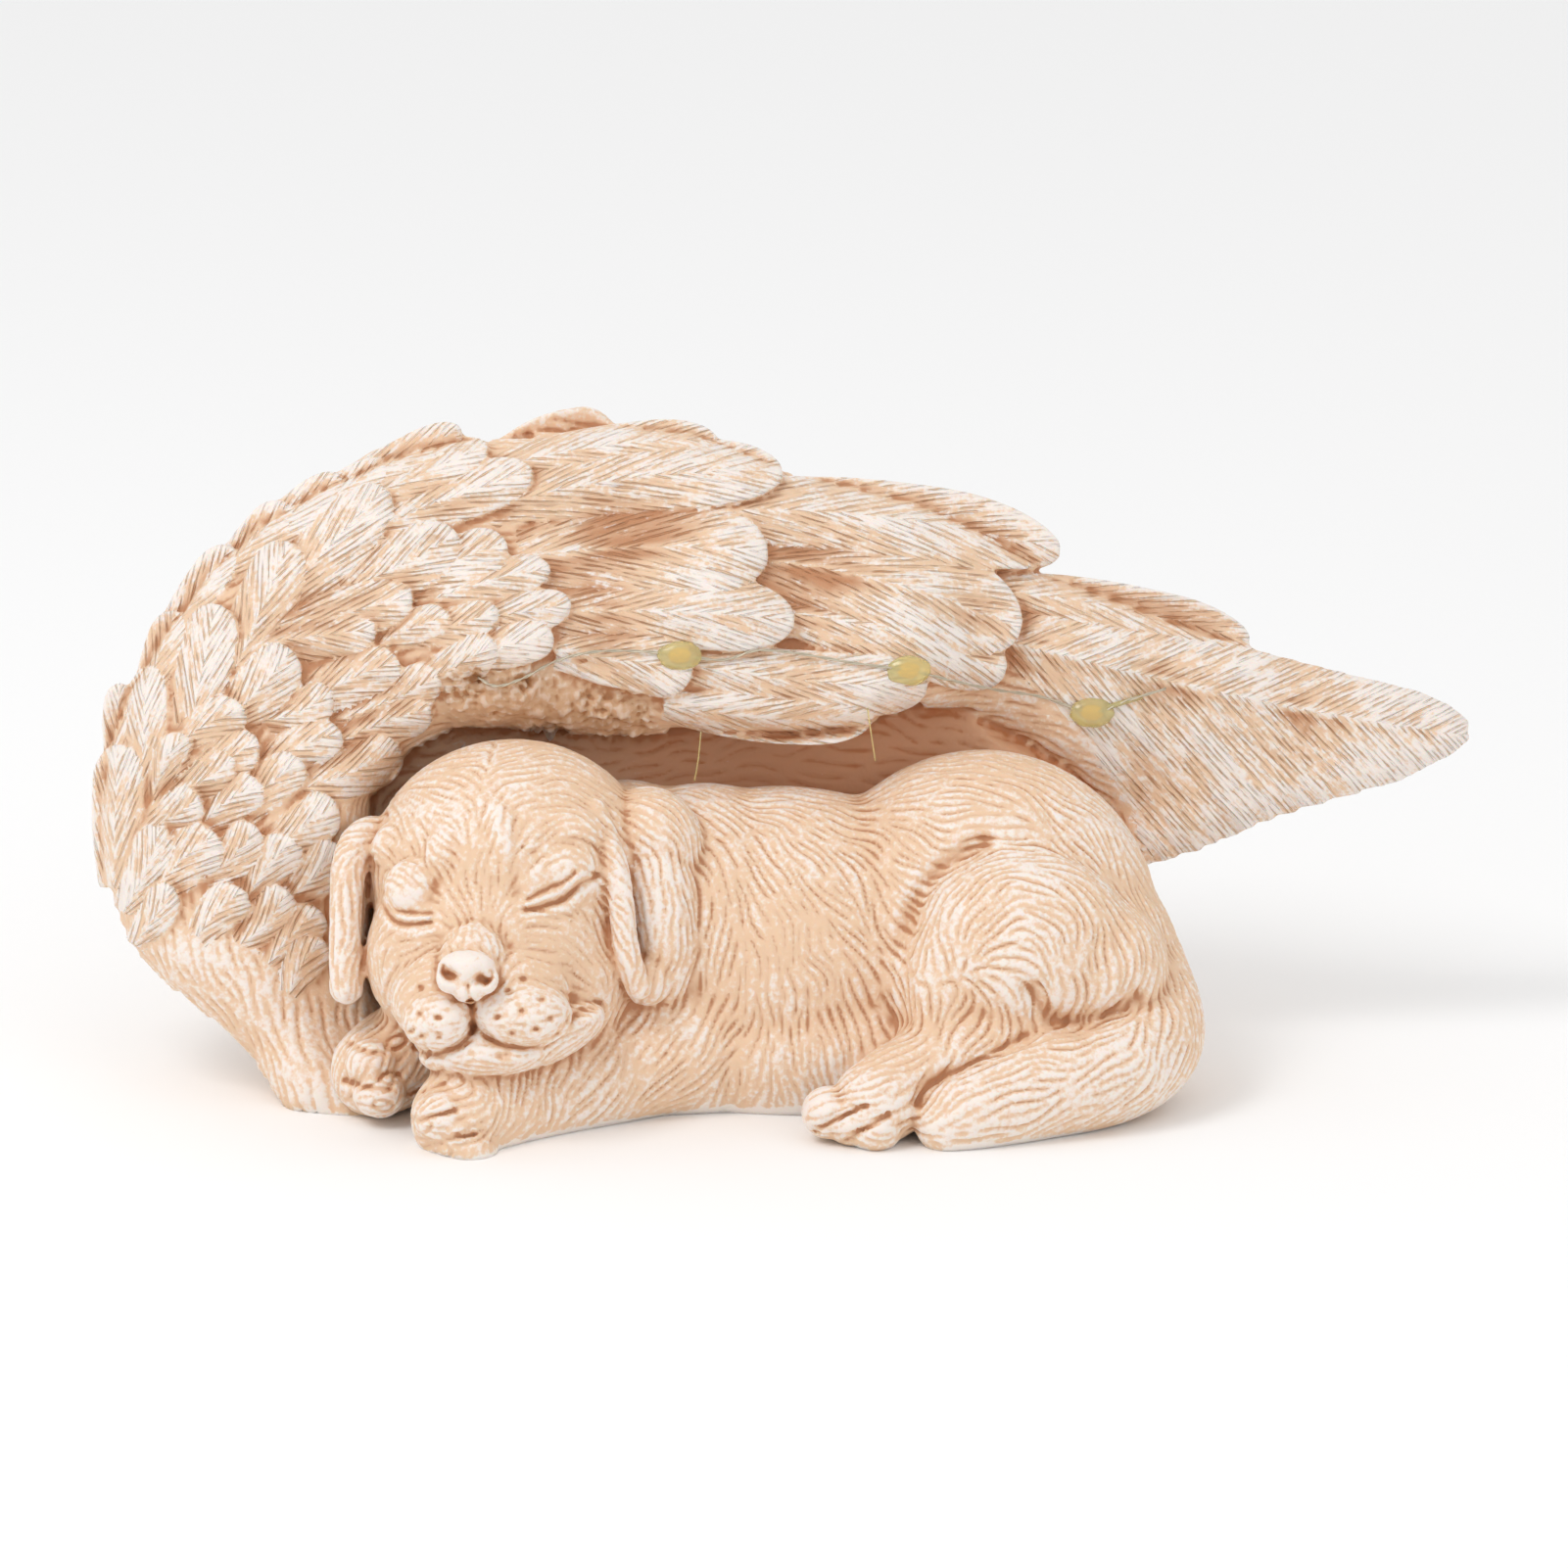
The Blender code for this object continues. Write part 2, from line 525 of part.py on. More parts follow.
def back_coverts():
    """The small feathers of the back: root, tip and width, staggered row by row."""
    (low_end, low), (high_end, high) = BACK_END
    rim_low, rim_high = np.min(WING_RIM, axis=0), np.max(WING_RIM, axis=0)
    rows = int((rim_high[1] - rim_low[1]) / BACK_ROW) + 1
    for row in range(2, rows):
        up = rim_low[1] + row * BACK_ROW
        end = low_end + (high_end - low_end) * min(1.0, (up - low) / (high - low))
        for across in np.arange(rim_low[0] + (row % 2) * BACK_STEP / 2, end, BACK_STEP):
            spot = np.array([across]), np.array([up])
            if inside(WING_RIM + CANOPY_EDGE, *spot)[0] and rim_distance(*spot)[0] > BACK_ROOM:
                way = math.radians(float(blended(FEATHER_WAY, *spot, 1)[0]))
                for reach in (BACK_LENGTH, 0.7 * BACK_LENGTH, 0.5 * BACK_LENGTH):
                    tip = (across + math.cos(way) * reach, up + math.sin(way) * reach)
                    if rim_distance(*np.array([tip]).T)[0] > BACK_TIP_ROOM:
                        yield (across, up), tip, BACK_WIDTH
                        break


def front_coverts():
    """The small feathers of the front, drawn out at their roots so that they overlap."""
    for root, tip, width in COVERTS:
        yield tuple(t - COVERT_STRETCH * (t - r) for r, t in zip(root, tip)), tip, width


def make_wing():
    """The wing: a thick curved body, small feathers like scales, then long ones to the tip."""
    shape = bmesh.new()
    add_slab(shape, WING_RIM + WALL_EDGE, WALL_THICKNESS)
    add_slab(shape, WING_RIM + CANOPY_EDGE, math.inf)
    for coverts, rise, side in ((front_coverts(), COVERT_RISE, -1), (back_coverts(), BACK_RISE, 1)):
        for number, (root, tip, width) in enumerate(coverts):
            bend = 0.7 * math.sin(3.1 * number)
            add_feather(shape, root, tip, width, rise, bend, side)
        for root, tip, width, rise, bend in LONG_FEATHERS:
            vane = TIP_VANE if tip == WING_TIP else 0.0
            add_feather(shape, root, tip, width, rise * LONG_RISE, bend, side, vane)
    bmesh.ops.recalc_face_normals(shape, faces=shape.faces[:])
    return mesh_object("wing", shape)


def carve(thing, grooves, deepest):
    """Presses grooves into the skin that faces the eye, as far back as deepest."""
    count = len(thing.data.vertices)
    places = np.empty(count * 3)
    normals = np.empty(count * 3)
    thing.data.vertices.foreach_get("co", places)
    thing.data.vertices.foreach_get("normal", normals)
    places, normals = places.reshape(-1, 3), normals.reshape(-1, 3)
    across, up, depth = (places @ np.array((ACROSS, UPWARD, INWARD)).T / PART).T
    facing = np.clip(normals @ -np.array(INWARD) * 2, 0, 1) * (depth < deepest)
    for line, half_width, press in grooves:
        way = [tuple(point) for point in smooth_way(line, 5)]
        near = np.exp(-((line_distance(way, across, up) / half_width) ** 2))
        places += np.outer(facing * near * press * PART, np.array(INWARD))
    thing.data.vertices.foreach_set("co", places.ravel())
    thing.data.update()


def cut_at_table(thing):
    """Cuts a shape off flat at the table, as the mould does."""
    shape = bmesh.new()
    shape.from_mesh(thing.data)
    everything = shape.verts[:] + shape.edges[:] + shape.faces[:]
    cut = bmesh.ops.bisect_plane(
        shape, geom=everything, dist=1e-7, plane_co=(0, 0, 0), plane_no=(0, 0, -1), clear_outer=True
    )
    rim = [item for item in cut["geom_cut"] if isinstance(item, bmesh.types.BMEdge)]
    bmesh.ops.triangle_fill(shape, edges=rim, use_beauty=True, normal=(0, 0, -1))
    bmesh.ops.recalc_face_normals(shape, faces=shape.faces[:])
    shape.to_mesh(thing.data)
    shape.free()


def trimmed(thing):
    """The cast with as few triangles as its carving needs, finest in the face."""
    face = thing.vertex_groups.new(name="plain")
    places = [vertex.co for vertex in thing.data.vertices]
    for number, place in enumerate(places):
        spot = (place.dot(ACROSS) / PART, place.dot(UPWARD) / PART, place.dot(INWARD) / PART)
        fine = math.exp(-sum(((s - m) / r) ** 2 for s, m, r in zip(spot, FACE_MIDDLE, FACE_REACH)))
        face.add([number], 1 - fine, "REPLACE")
    fewer = thing.modifiers.new("fewer", "DECIMATE")
    fewer.vertex_group = "plain"
    fewer.vertex_group_factor = FACE_KEEPING
    fewer.use_collapse_triangulate = True
    fewer.ratio = SOLID_TRIANGLES / sum(len(face.vertices) - 2 for face in thing.data.polygons)
    settled(thing)
    thing.vertex_groups.clear()
    return thing


def make_statue():
    """The whole cast: puppy and wing in one piece, cut off flat at the table."""
    cast = melted("statue", [make_puppy(), make_wing()], CAST_GRAIN, 1)
    carve(cast, FACE_GROOVES, FACE_DEEPEST)
    carve(cast, BODY_GROOVES, BODY_DEEPEST)
    trimmed(cast)
    cut_at_table(cast)
    return cast


def skin_finder(statue):
    """A function that gives the depth of the statue's skin behind a place that the eye sees."""
    shape = bmesh.new()
    shape.from_mesh(statue.data)
    tree = BVHTree.FromBMesh(shape)
    shape.free()

    def depth_at(across, up):
        hit = tree.ray_cast(seen(across, up, -200), INWARD)[0]
        return hit.dot(INWARD) / PART

    return depth_at


def seat_depth(depth_at, across, up, reach):
    """The nearest depth of the skin within reach of a place."""
    steps = [(0, 0), (1, 0), (-1, 0), (0, 1), (0, -1), (0.7, 0.7), (0.7, -0.7), (-0.7, 0.7), (-0.7, -0.7)]
    return min(depth_at(across + reach * a, up + reach * b) for a, b in steps)


def make_light(name, depth_at, across, up):
    """A small light under its drop of clear glue, seated on the wing."""
    shape = bmesh.new()
    middle = seat_depth(depth_at, across, up, 1.0) - DROP_SINK
    half_sizes = [size / PART / 2 for size in (LIGHT_LENGTH, LIGHT_WIDTH, LIGHT_HEIGHT)]
    bmesh.ops.create_icosphere(shape, subdivisions=2, radius=1)
    for vertex in shape.verts:
        a, u = across + vertex.co.x * half_sizes[0], up + vertex.co.y * half_sizes[1]
        skin = seat_depth(depth_at, a, u, 0.4) - SEAT_GAP / PART
        skin -= DROP_EDGE * (1 - vertex.co.z)
        vertex.co = seen(a, u, min(middle + vertex.co.z * half_sizes[2], skin))
    bmesh.ops.reverse_faces(shape, faces=shape.faces[:])
    return mesh_object(name, shape)


def make_wire(name, depth_at, way):
    """A run of wire that lies along the wing."""
    radius = WIRE_DIAMETER / 2
    curve = bpy.data.curves.new(name, "CURVE")
    curve.dimensions = "3D"
    curve.bevel_depth = radius
    curve.bevel_resolution = 1
    curve.use_fill_caps = True
    line = curve.splines.new("POLY")
    line.points.add(len(way) - 1)
    depths = [seat_depth(depth_at, across, up, 1.0) for across, up in way]
    for number, (point, (across, up)) in enumerate(zip(line.points, way)):
        depth = min(depths[max(0, number - 1) : number + 2]) - (radius + SEAT_GAP) / PART
        point.co = (*seen(across, up, depth), 1)
    drawn = bpy.data.objects.new(name + "_line", curve)
    bpy.context.scene.collection.objects.link(drawn)
    graph = bpy.context.evaluated_depsgraph_get()
    shape = bmesh.new()
    shape.from_mesh(bpy.data.meshes.new_from_object(drawn.evaluated_get(graph)))
    bpy.data.objects.remove(drawn)
    bmesh.ops.remove_doubles(shape, verts=shape.verts[:], dist=1e-6)
    bmesh.ops.recalc_face_normals(shape, faces=shape.faces[:])
    return mesh_object(name, shape)


def bore_wire_hole(statue, depth_at):
    """The hole in the wing that the wire comes out of."""
    shape = bmesh.new()
    across, up = WIRE_HOLE
    middle = seen(across, up, depth_at(across, up))
    axes = Matrix((ACROSS, UPWARD, INWARD)).transposed().to_4x4()
    bmesh.ops.create_cone(
        shape,
        cap_ends=True,
        segments=12,
        radius1=WIRE_HOLE_DIAMETER / 2,
        radius2=WIRE_HOLE_DIAMETER / 2,
        depth=2 * WIRE_HOLE_DEPTH,
        matrix=Matrix.Translation(middle) @ axes,
    )
    drill = mesh_object("drill", shape)
    bore = statue.modifiers.new("bore", "BOOLEAN")
    bore.operation = "DIFFERENCE"
    bore.object = drill
    settled(statue)
    bpy.data.objects.remove(drill)


def make_lights(depth_at):
    """The three lights, and the runs of wire from the hole to each of them and on."""
    way = [tuple(point) for point in smooth_way(WIRE_WAY, 3)]
    lights, wires = [], []
    start = 0
    for number, place in enumerate(LIGHTS, 1):
        lights.append(make_light(f"light_{number}", depth_at, *place))
        end = min(range(len(way)), key=lambda at: math.dist(way[at], place))
        wires.append(make_wire(f"wire_{number}", depth_at, clear_run(way[start : end + 1])))
        start = end
    wires.append(make_wire("wire_end", depth_at, clear_run(way[start:])))
    return lights, wires


def clear_run(way):
    """The part of a run of wire that lies clear of the drops of glue."""
    half = LIGHT_LENGTH / PART / 2 + WIRE_CLEARANCE
    return [point for point in way if all(math.dist(point, place) > half for place in LIGHTS)]


def painted(things, name, look):
    """Gives the objects one material, with its colour, roughness and metallic value."""
    made = bpy.data.materials.new(name)
    made.use_nodes = True
    shader = made.node_tree.nodes["Principled BSDF"].inputs
    for socket, value in zip(("Base Color", "Roughness", "Metallic"), look):
        shader[socket].default_value = value
    for thing in things:
        thing.data.materials.append(made)


def stand_on_origin(things):
    """Moves everything so that the origin is under the middle of the cast, on the table."""
    low = [min(vertex.co[axis] for vertex in things[0].data.vertices) for axis in range(3)]
    high = [max(vertex.co[axis] for vertex in things[0].data.vertices) for axis in range(3)]
    middle = Vector(((low[0] + high[0]) / 2, (low[1] + high[1]) / 2, low[2]))
    for thing in things:
        thing.data.transform(Matrix.Translation(-middle))


def main():
    """Clears the scene and makes the statue and its lights."""
    for thing in list(bpy.data.objects):
        bpy.data.objects.remove(thing)
    statue = make_statue()
    depth_at = skin_finder(statue)
    lights, wires = make_lights(depth_at)
    bore_wire_hole(statue, depth_at)
    stand_on_origin([statue, *lights, *wires])
    painted([statue], "cast_resin", RESIN)
    painted(lights, "clear_glue", GLUE)
    painted(wires, "wire", WIRE)


main()
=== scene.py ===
"""Looks of a pet memorial statue: a puppy asleep under one feathered wing, cast in peach resin.

The cast is modelled again here at a fine grain, with its fur, feathers and face carved in, and is
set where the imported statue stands. White paint is rubbed over the raised parts. A thin wire with
three lights under drops of clear glue lies along the wing.

Places are (across, up, depth) in millimetres as an eye 15 degrees above the table sees them.
"""

import logging
import math
from collections.abc import Callable, Iterable, Iterator, Sequence
from dataclasses import asdict, dataclass, field
from enum import Enum
from itertools import product

import bmesh
import bpy
import numpy as np
from mathutils import Matrix, Vector, kdtree, noise
from mathutils.bvhtree import BVHTree


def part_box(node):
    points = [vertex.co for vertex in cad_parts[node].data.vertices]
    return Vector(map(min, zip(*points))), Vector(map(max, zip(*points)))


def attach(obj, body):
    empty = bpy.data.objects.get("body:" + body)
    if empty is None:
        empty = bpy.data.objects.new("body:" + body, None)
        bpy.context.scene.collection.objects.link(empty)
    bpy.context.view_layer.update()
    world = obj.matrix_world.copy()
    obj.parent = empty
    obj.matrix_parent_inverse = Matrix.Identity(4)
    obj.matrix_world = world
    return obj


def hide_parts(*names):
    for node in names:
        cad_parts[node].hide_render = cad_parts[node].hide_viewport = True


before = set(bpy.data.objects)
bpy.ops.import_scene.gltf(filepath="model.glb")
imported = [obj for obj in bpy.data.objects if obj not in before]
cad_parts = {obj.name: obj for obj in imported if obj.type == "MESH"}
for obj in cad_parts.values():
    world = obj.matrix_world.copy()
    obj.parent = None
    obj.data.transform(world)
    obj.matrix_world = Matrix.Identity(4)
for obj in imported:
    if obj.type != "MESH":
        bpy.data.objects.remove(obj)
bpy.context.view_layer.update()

log = logging.getLogger("memorial_statue")

Spot = tuple[float, float]
Place = tuple[float, float, float]
Mass = tuple[Place, Place, float]
Groove = tuple[tuple[Spot, ...], float, float]
Station = tuple[Place, float]
Colour = tuple[float, float, float, float]
Plan = tuple[np.ndarray, ...]
DepthFinder = Callable[[float, float], float]
Socket = bpy.types.NodeSocket


class Side(Enum):
    """The two faces of the wing that carry feathers."""

    FRONT = -1
    BACK = 1


@dataclass
class SeenPlane:
    """The plane that the figure is laid out in, square to the line of sight.

    Attributes:
        millimetre: One part of the layout in metres.
        eye_degrees: How far above the table the eye looks from.
        shift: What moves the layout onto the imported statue, in metres. It is set once the cast
            has been modelled.
    """

    millimetre: float = 0.001
    eye_degrees: float = 15.0
    shift: Vector = field(default_factory=Vector)

    @property
    def across(self) -> Vector:
        """The way that runs to the eye's right."""
        return Vector((1, 0, 0))

    @property
    def upward(self) -> Vector:
        """The way that the eye sees as up."""
        slope = math.radians(self.eye_degrees)
        return Vector((0, math.sin(slope), math.cos(slope)))

    @property
    def inward(self) -> Vector:
        """The line of sight."""
        slope = math.radians(self.eye_degrees)
        return Vector((0, math.cos(slope), -math.sin(slope)))

    def point(self, across: float, up: float, depth: float) -> Vector:
        """The point in metres at a place of the layout."""
        flat = self.across * across + self.upward * up + self.inward * depth
        return flat * self.millimetre + self.shift

    def axes(self) -> Matrix:
        """The turn from across, up and depth to X, Y and Z."""
        return Matrix((self.across, self.upward, self.inward)).transposed().to_4x4()

    def facing(self, normals: np.ndarray) -> np.ndarray:
        """How squarely surfaces face the eye: 1 straight on, below 0 when turned away."""
        return normals @ -np.array(self.inward)

    def measured(self, places: np.ndarray) -> np.ndarray:
        """The across, up and depth of points in metres, one row for each point."""
        basis = np.array((self.across, self.upward, self.inward))
        return (places - np.array(self.shift)) @ basis.T / self.millimetre


PLANE = SeenPlane()


def linked(name: str, data: bpy.types.ID) -> bpy.types.Object:
    """A new object in the scene that holds some data."""
    made = bpy.data.objects.new(name, data)
    bpy.context.scene.collection.objects.link(made)
    return made


def mesh_piece(name: str, shape: bmesh.types.BMesh) -> bpy.types.Object:
    """Turns a bmesh into a linked object.

    Args:
        name: The object's name.
        shape: The bmesh, which is freed.

    Returns:
        The new object, at the origin.
    """
    mesh = bpy.data.meshes.new(name)
    shape.to_mesh(mesh)
    shape.free()
    return linked(name, mesh)


def joined(name: str, parts: Iterable[bpy.types.Object]) -> bpy.types.Object:
    """One object made of several, which are used up."""
    shape = bmesh.new()
    for part in parts:
        shape.from_mesh(part.data)
        bpy.data.objects.remove(part)
    return mesh_piece(name, shape)


def shaded_smooth(piece: bpy.types.Object) -> bpy.types.Object:
    """The same object with its shading smooth."""
    for face in piece.data.polygons:
        face.use_smooth = True
    return piece


def column(items: bpy.types.bpy_prop_collection, name: str, width: int, kind: type = float) -> np.ndarray:
    """A property of a mesh's elements as an array.

    Args:
        items: The elements.
        name: The property.
        width: How many numbers each element has.
        kind: Their type.

    Returns:
        One row for each element, or a flat array where the width is 1.
    """
    values = np.empty(len(items) * width, kind)
    items.foreach_get(name, values)
    return values.reshape(-1, width) if width > 1 else values


def tree_of(points: Sequence[Sequence[float]]) -> kdtree.KDTree:
    """A tree that finds the nearest of some points."""
    tree = kdtree.KDTree(len(points))
    for number, point in enumerate(points):
        tree.insert(point, number)
    tree.balance()
    return tree


def settled(piece: bpy.types.Object) -> bpy.types.Object:
    """The same object with its modifiers worked into its mesh."""
    graph = bpy.context.evaluated_depsgraph_get()
    mesh = bpy.data.meshes.new_from_object(piece.evaluated_get(graph))
    piece.modifiers.clear()
    piece.data = mesh
    return piece


def melted(name: str, parts: Sequence[bpy.types.Object], grain: float, softening: int) -> bpy.types.Object:
    """Melts the volumes of several objects into one closed skin.

    Args:
        name: The new object's name.
        parts: The objects, which are used up.
        grain: The size of the skin's faces, in millimetres.
        softening: How many rounds the skin is smoothed for.

    Returns:
        The object that holds the skin.
    """
    piece = joined(name, parts)
    skin = piece.modifiers.new("skin", "REMESH")
    skin.mode = "VOXEL"
    skin.voxel_size = grain * PLANE.millimetre
    soft = piece.modifiers.new("soft", "SMOOTH")
    soft.factor = 0.5
    soft.iterations = softening
    return settled(piece)


def smooth_way(points: Sequence[Sequence[float]], steps: int) -> list[np.ndarray]:
    """Points along a smooth curve through the given ones.

    Args:
        points: Rows of any number of columns.
        steps: Points made from each given point to the next.

    Returns:
        The rows along the curve.
    """
    rows = np.array(points, float)
    rows = np.vstack([2 * rows[0] - rows[1], rows, 2 * rows[-1] - rows[-2]])
    way = []
    for a, b, c, d in zip(rows, rows[1:], rows[2:], rows[3:]):
        for t in np.arange(steps) / steps:
            bend = t * t * (a - 2.5 * b + 2 * c - 0.5 * d) + t**3 * (1.5 * (b - c) + 0.5 * (d - a))
            way.append(b + 0.5 * t * (c - a) + bend)
    return [*way, rows[-2]]


def line_distance(line: Sequence[Spot], across: np.ndarray, up: np.ndarray) -> np.ndarray:
    """How far places lie from an open line of (across, up) points."""
    best = np.full(np.shape(across), 1e9)
    for (ax, ay), (bx, by) in zip(line, line[1:]):
        dx, dy = bx - ax, by - ay
        share = np.clip(((across - ax) * dx + (up - ay) * dy) / max(dx * dx + dy * dy, 1e-9), 0, 1)
        best = np.minimum(best, np.hypot(across - ax - share * dx, up - ay - share * dy))
    return best


def inside(outline: Sequence[Spot], across: np.ndarray, up: np.ndarray) -> np.ndarray:
    """Whether places lie inside a closed outline."""
    found = np.zeros(np.shape(across), bool)
    for (ax, ay), (bx, by) in zip(outline, (*outline[1:], outline[0])):
        if ay == by:
            continue
        found ^= ((ay > up) != (by > up)) & (across < ax + (up - ay) * (bx - ax) / (by - ay))
    return found


def oval(across: np.ndarray, up: np.ndarray, shape: Sequence[float], power: int = 2) -> np.ndarray:
    """How far places lie from the middle of an upright oval: 1 on its edge.

    Args:
        across: The places' first coordinate.
        up: Their second.
        shape: The oval's middle across and up, and its half sizes.
        power: 2 for an ellipse, 4 for one with fuller corners.

    Returns:
        One number for each place.
    """
    middle_across, middle_up, wide, high = shape
    return ((across - middle_across) / wide) ** power + ((up - middle_up) / high) ** power


class Skin:
    """A mesh's vertices as arrays, for carving the surface and for painting by its form."""

    def __init__(self, piece: bpy.types.Object) -> None:
        """Reads the mesh of a piece."""
        self.mesh = piece.data
        self.read()

    def read(self) -> None:
        """Reads places, normals and edges afresh."""
        self.places = column(self.mesh.vertices, "co", 3)
        self.normals = column(self.mesh.vertices, "normal", 3)
        self.ends = column(self.mesh.edges, "vertices", 2, int)
        self.layout = PLANE.measured(self.places)

    def write(self) -> None:
        """Writes the moved places back and reads the new normals."""
        self.mesh.vertices.foreach_set("co", self.places.ravel())
        self.mesh.update()
        self.read()

    def averaged(self, values: np.ndarray, rounds: int) -> np.ndarray:
        """Values spread over the surface by taking the mean of the neighbours again and again.

        Args:
            values: One row for each vertex.
            rounds: How many times.

        Returns:
            The spread values.
        """
        count = len(self.places)
        here, there = self.ends[:, 0], self.ends[:, 1]
        shares = np.maximum(np.bincount(self.ends.ravel(), minlength=count), 1)
        for _ in range(rounds):
            spread = np.empty_like(values)
            for column in range(values.shape[1]):
                spread[:, column] = np.bincount(here, values[there, column], count)
                spread[:, column] += np.bincount(there, values[here, column], count)
            values = spread / shares[:, None]
        return values

    def height_over(self, rounds: int) -> np.ndarray:
        """How far each vertex stands above the smoothed surface, in millimetres."""
        smooth = self.averaged(self.places, rounds)
        return np.einsum("ij,ij->i", self.places - smooth, self.normals) / PLANE.millimetre

    def paint(self, name: str, values: np.ndarray) -> None:
        """Keeps a number for each vertex as an attribute that a material can read."""
        layer = self.mesh.attributes.get(name) or self.mesh.attributes.new(name, "FLOAT", "POINT")
        layer.data.foreach_set("value", np.ascontiguousarray(values, np.float32))

    def carve(self, grooves: Sequence[Groove], deepest: float) -> None:
        """Presses grooves into what the eye sees.

        Args:
            grooves: Places (across, up) along each groove, its half width and its depth.
            deepest: How far back the carving reaches.
        """
        across, up, depth = self.layout.T
        facing = np.clip(PLANE.facing(self.normals) * 2, 0, 1) * (depth < deepest)
        for line, half_width, press in grooves:
            way = [tuple(point) for point in smooth_way(line, 5)]
            near = np.exp(-((line_distance(way, across, up) / half_width) ** 2))
            push = facing * near * press * PLANE.millimetre
            self.places += np.outer(push, np.array(PLANE.inward))
        self.write()


def trimmed(piece: bpy.types.Object, triangles: int) -> bpy.types.Object:
    """The piece with no more than so many triangles, which stay where the carving is."""
    fewer = piece.modifiers.new("fewer", "DECIMATE")
    fewer.use_collapse_triangulate = True
    fewer.ratio = min(1.0, triangles / sum(len(face.vertices) - 2 for face in piece.data.polygons))
    return settled(piece)


def cut_at_table(piece: bpy.types.Object) -> None:
    """Cuts a piece off flat at the table, as the mould does."""
    shape = bmesh.new()
    shape.from_mesh(piece.data)
    everything = shape.verts[:] + shape.edges[:] + shape.faces[:]
    cut = bmesh.ops.bisect_plane(
        shape, geom=everything, dist=1e-7, plane_co=PLANE.shift, plane_no=(0, 0, -1), clear_outer=True
    )
    rim = [item for item in cut["geom_cut"] if isinstance(item, bmesh.types.BMEdge)]
    bmesh.ops.triangle_fill(shape, edges=rim, use_beauty=True, normal=(0, 0, -1))
    bmesh.ops.recalc_face_normals(shape, faces=shape.faces[:])
    shape.to_mesh(piece.data)
    shape.free()


@dataclass(frozen=True)
class Strokes:
    """Grooves that a tool leaves in clay, laid side by side along the lie of the hair.

    Attributes:
        combs: (across, up, degrees above the right) that the hair follows near each place.
        apart: Space from one groove to the next, in millimetres.
        longest: Length of a groove, in millimetres.
        half_width: Half the width of a groove, in millimetres.
        press: Depth of a groove, in millimetres.
        sway: How far the hair strays from its lie, in degrees.
        ripple: How quickly it strays one way and the other, as noise to the metre.
        step: Space from one point of a groove to the next, in millimetres.
        crowding: How near one groove may come to another, as a share of the space between them.
        nearest: How sharply one comb gives way to the next, in millimetres.
        margin: How far from a groove the skin is still moved, in millimetres.
    """

    combs: tuple[tuple[float, float, float], ...]
    apart: float = 1.2
    longest: float = 12.0
    half_width: float = 0.4
    press: float = 0.5
    sway: float = 44.0
    ripple: float = 190.0
    step: float = 0.45
    crowding: float = 0.62
    nearest: float = 5.0
    margin: float = 2.4

    def lie(self, skin: Skin) -> np.ndarray:
        """The way that the hair lies at each vertex, as one unit vector along the surface."""
        tree = tree_of(skin.layout * (1, 1, 0))
        total = np.zeros((len(skin.places), 3))
        sides = np.array((PLANE.across, PLANE.upward))
        for across, up, degrees in self.combs:
            close = [number for _, number, _ in tree.find_range((across, up, 0), 1.5)]
            close = close or [tree.find((across, up, 0))[1]]
            root = skin.layout[min(close, key=lambda number: skin.layout[number][2])]
            square = ((skin.layout - root) ** 2).sum(axis=1)
            angle = math.radians(degrees)
            way = math.cos(angle) * sides[0] + math.sin(angle) * sides[1]
            total += np.outer(1 / (square + self.nearest**2) ** 2, way)
        total -= skin.normals * np.einsum("ij,ij->i", total, skin.normals)[:, None]
        return total / np.maximum(np.linalg.norm(total, axis=1), 1e-30)[:, None]

    def lines(self, skin: Skin, length_here: np.ndarray, apart_here: np.ndarray) -> Iterator[list]:
        """Traces the grooves over the surface, each clear of those before it.

        Args:
            skin: The surface.
            length_here: For each vertex, the share of the longest groove, or 0 for none.
            apart_here: For each vertex, the share of the space between grooves.

        Yields:
            The (point, vertex) pairs along one groove.
        """
        unit = PLANE.millimetre
        lie = self.lie(skin)
        tree = tree_of(skin.places)
        taken: dict[tuple[int, ...], list] = {}

        def cell_of(point: Vector) -> tuple[int, ...]:
            """The cell of the grid that a point lies in."""
            return tuple(int(value // (self.apart * unit)) for value in point)

        def crowded(point: Vector, space: float, own: int) -> bool:
            """Whether a point lies nearer than a space to a groove that isn't its own."""
            i, j, k = cell_of(point)
            for cell in product((i - 1, i, i + 1), (j - 1, j, j + 1), (k - 1, k, k + 1)):
                for other, owner in taken.get(cell, ()):
                    if owner != own and (other - point).length < space:
                        return True
            return False

        draws = np.random.default_rng(7)
        order = draws.permutation(len(skin.places))
        step = self.step * unit
        owner = 0
        for number in order:
            if length_here[number] <= 0:
                continue
            start = Vector(skin.places[number])
            if crowded(start, self.apart * apart_here[number] * unit, -1):
                continue
            owner += 1
            reach = self.longest * length_here[number] * unit * draws.uniform(0.7, 1.3)
            halves = []
            for sense in (-1, 1):
                point, at, half = start.copy(), int(number), []
                while len(half) * step < reach / 2:
                    drift = noise.noise(point * self.ripple) * math.radians(self.sway)
                    way = Vector(lie[at]) * sense
                    way.rotate(Matrix.Rotation(drift, 3, Vector(skin.normals[at])))
                    point = point + way * step
                    _, at, _ = tree.find(point)
                    normal = Vector(skin.normals[at])
                    point -= normal * normal.dot(point - Vector(skin.places[at]))
                    if length_here[at] <= 0:
                        break
                    if crowded(point, self.crowding * self.apart * apart_here[at] * unit, owner):
                        break
                    half.append((point.copy(), at))
                halves.append(half)
            line = [*reversed(halves[0]), (start, int(number)), *halves[1]]
            if len(line) < 4:
                continue
            for point, _ in line:
                taken.setdefault(cell_of(point), []).append((point, owner))
            yield line

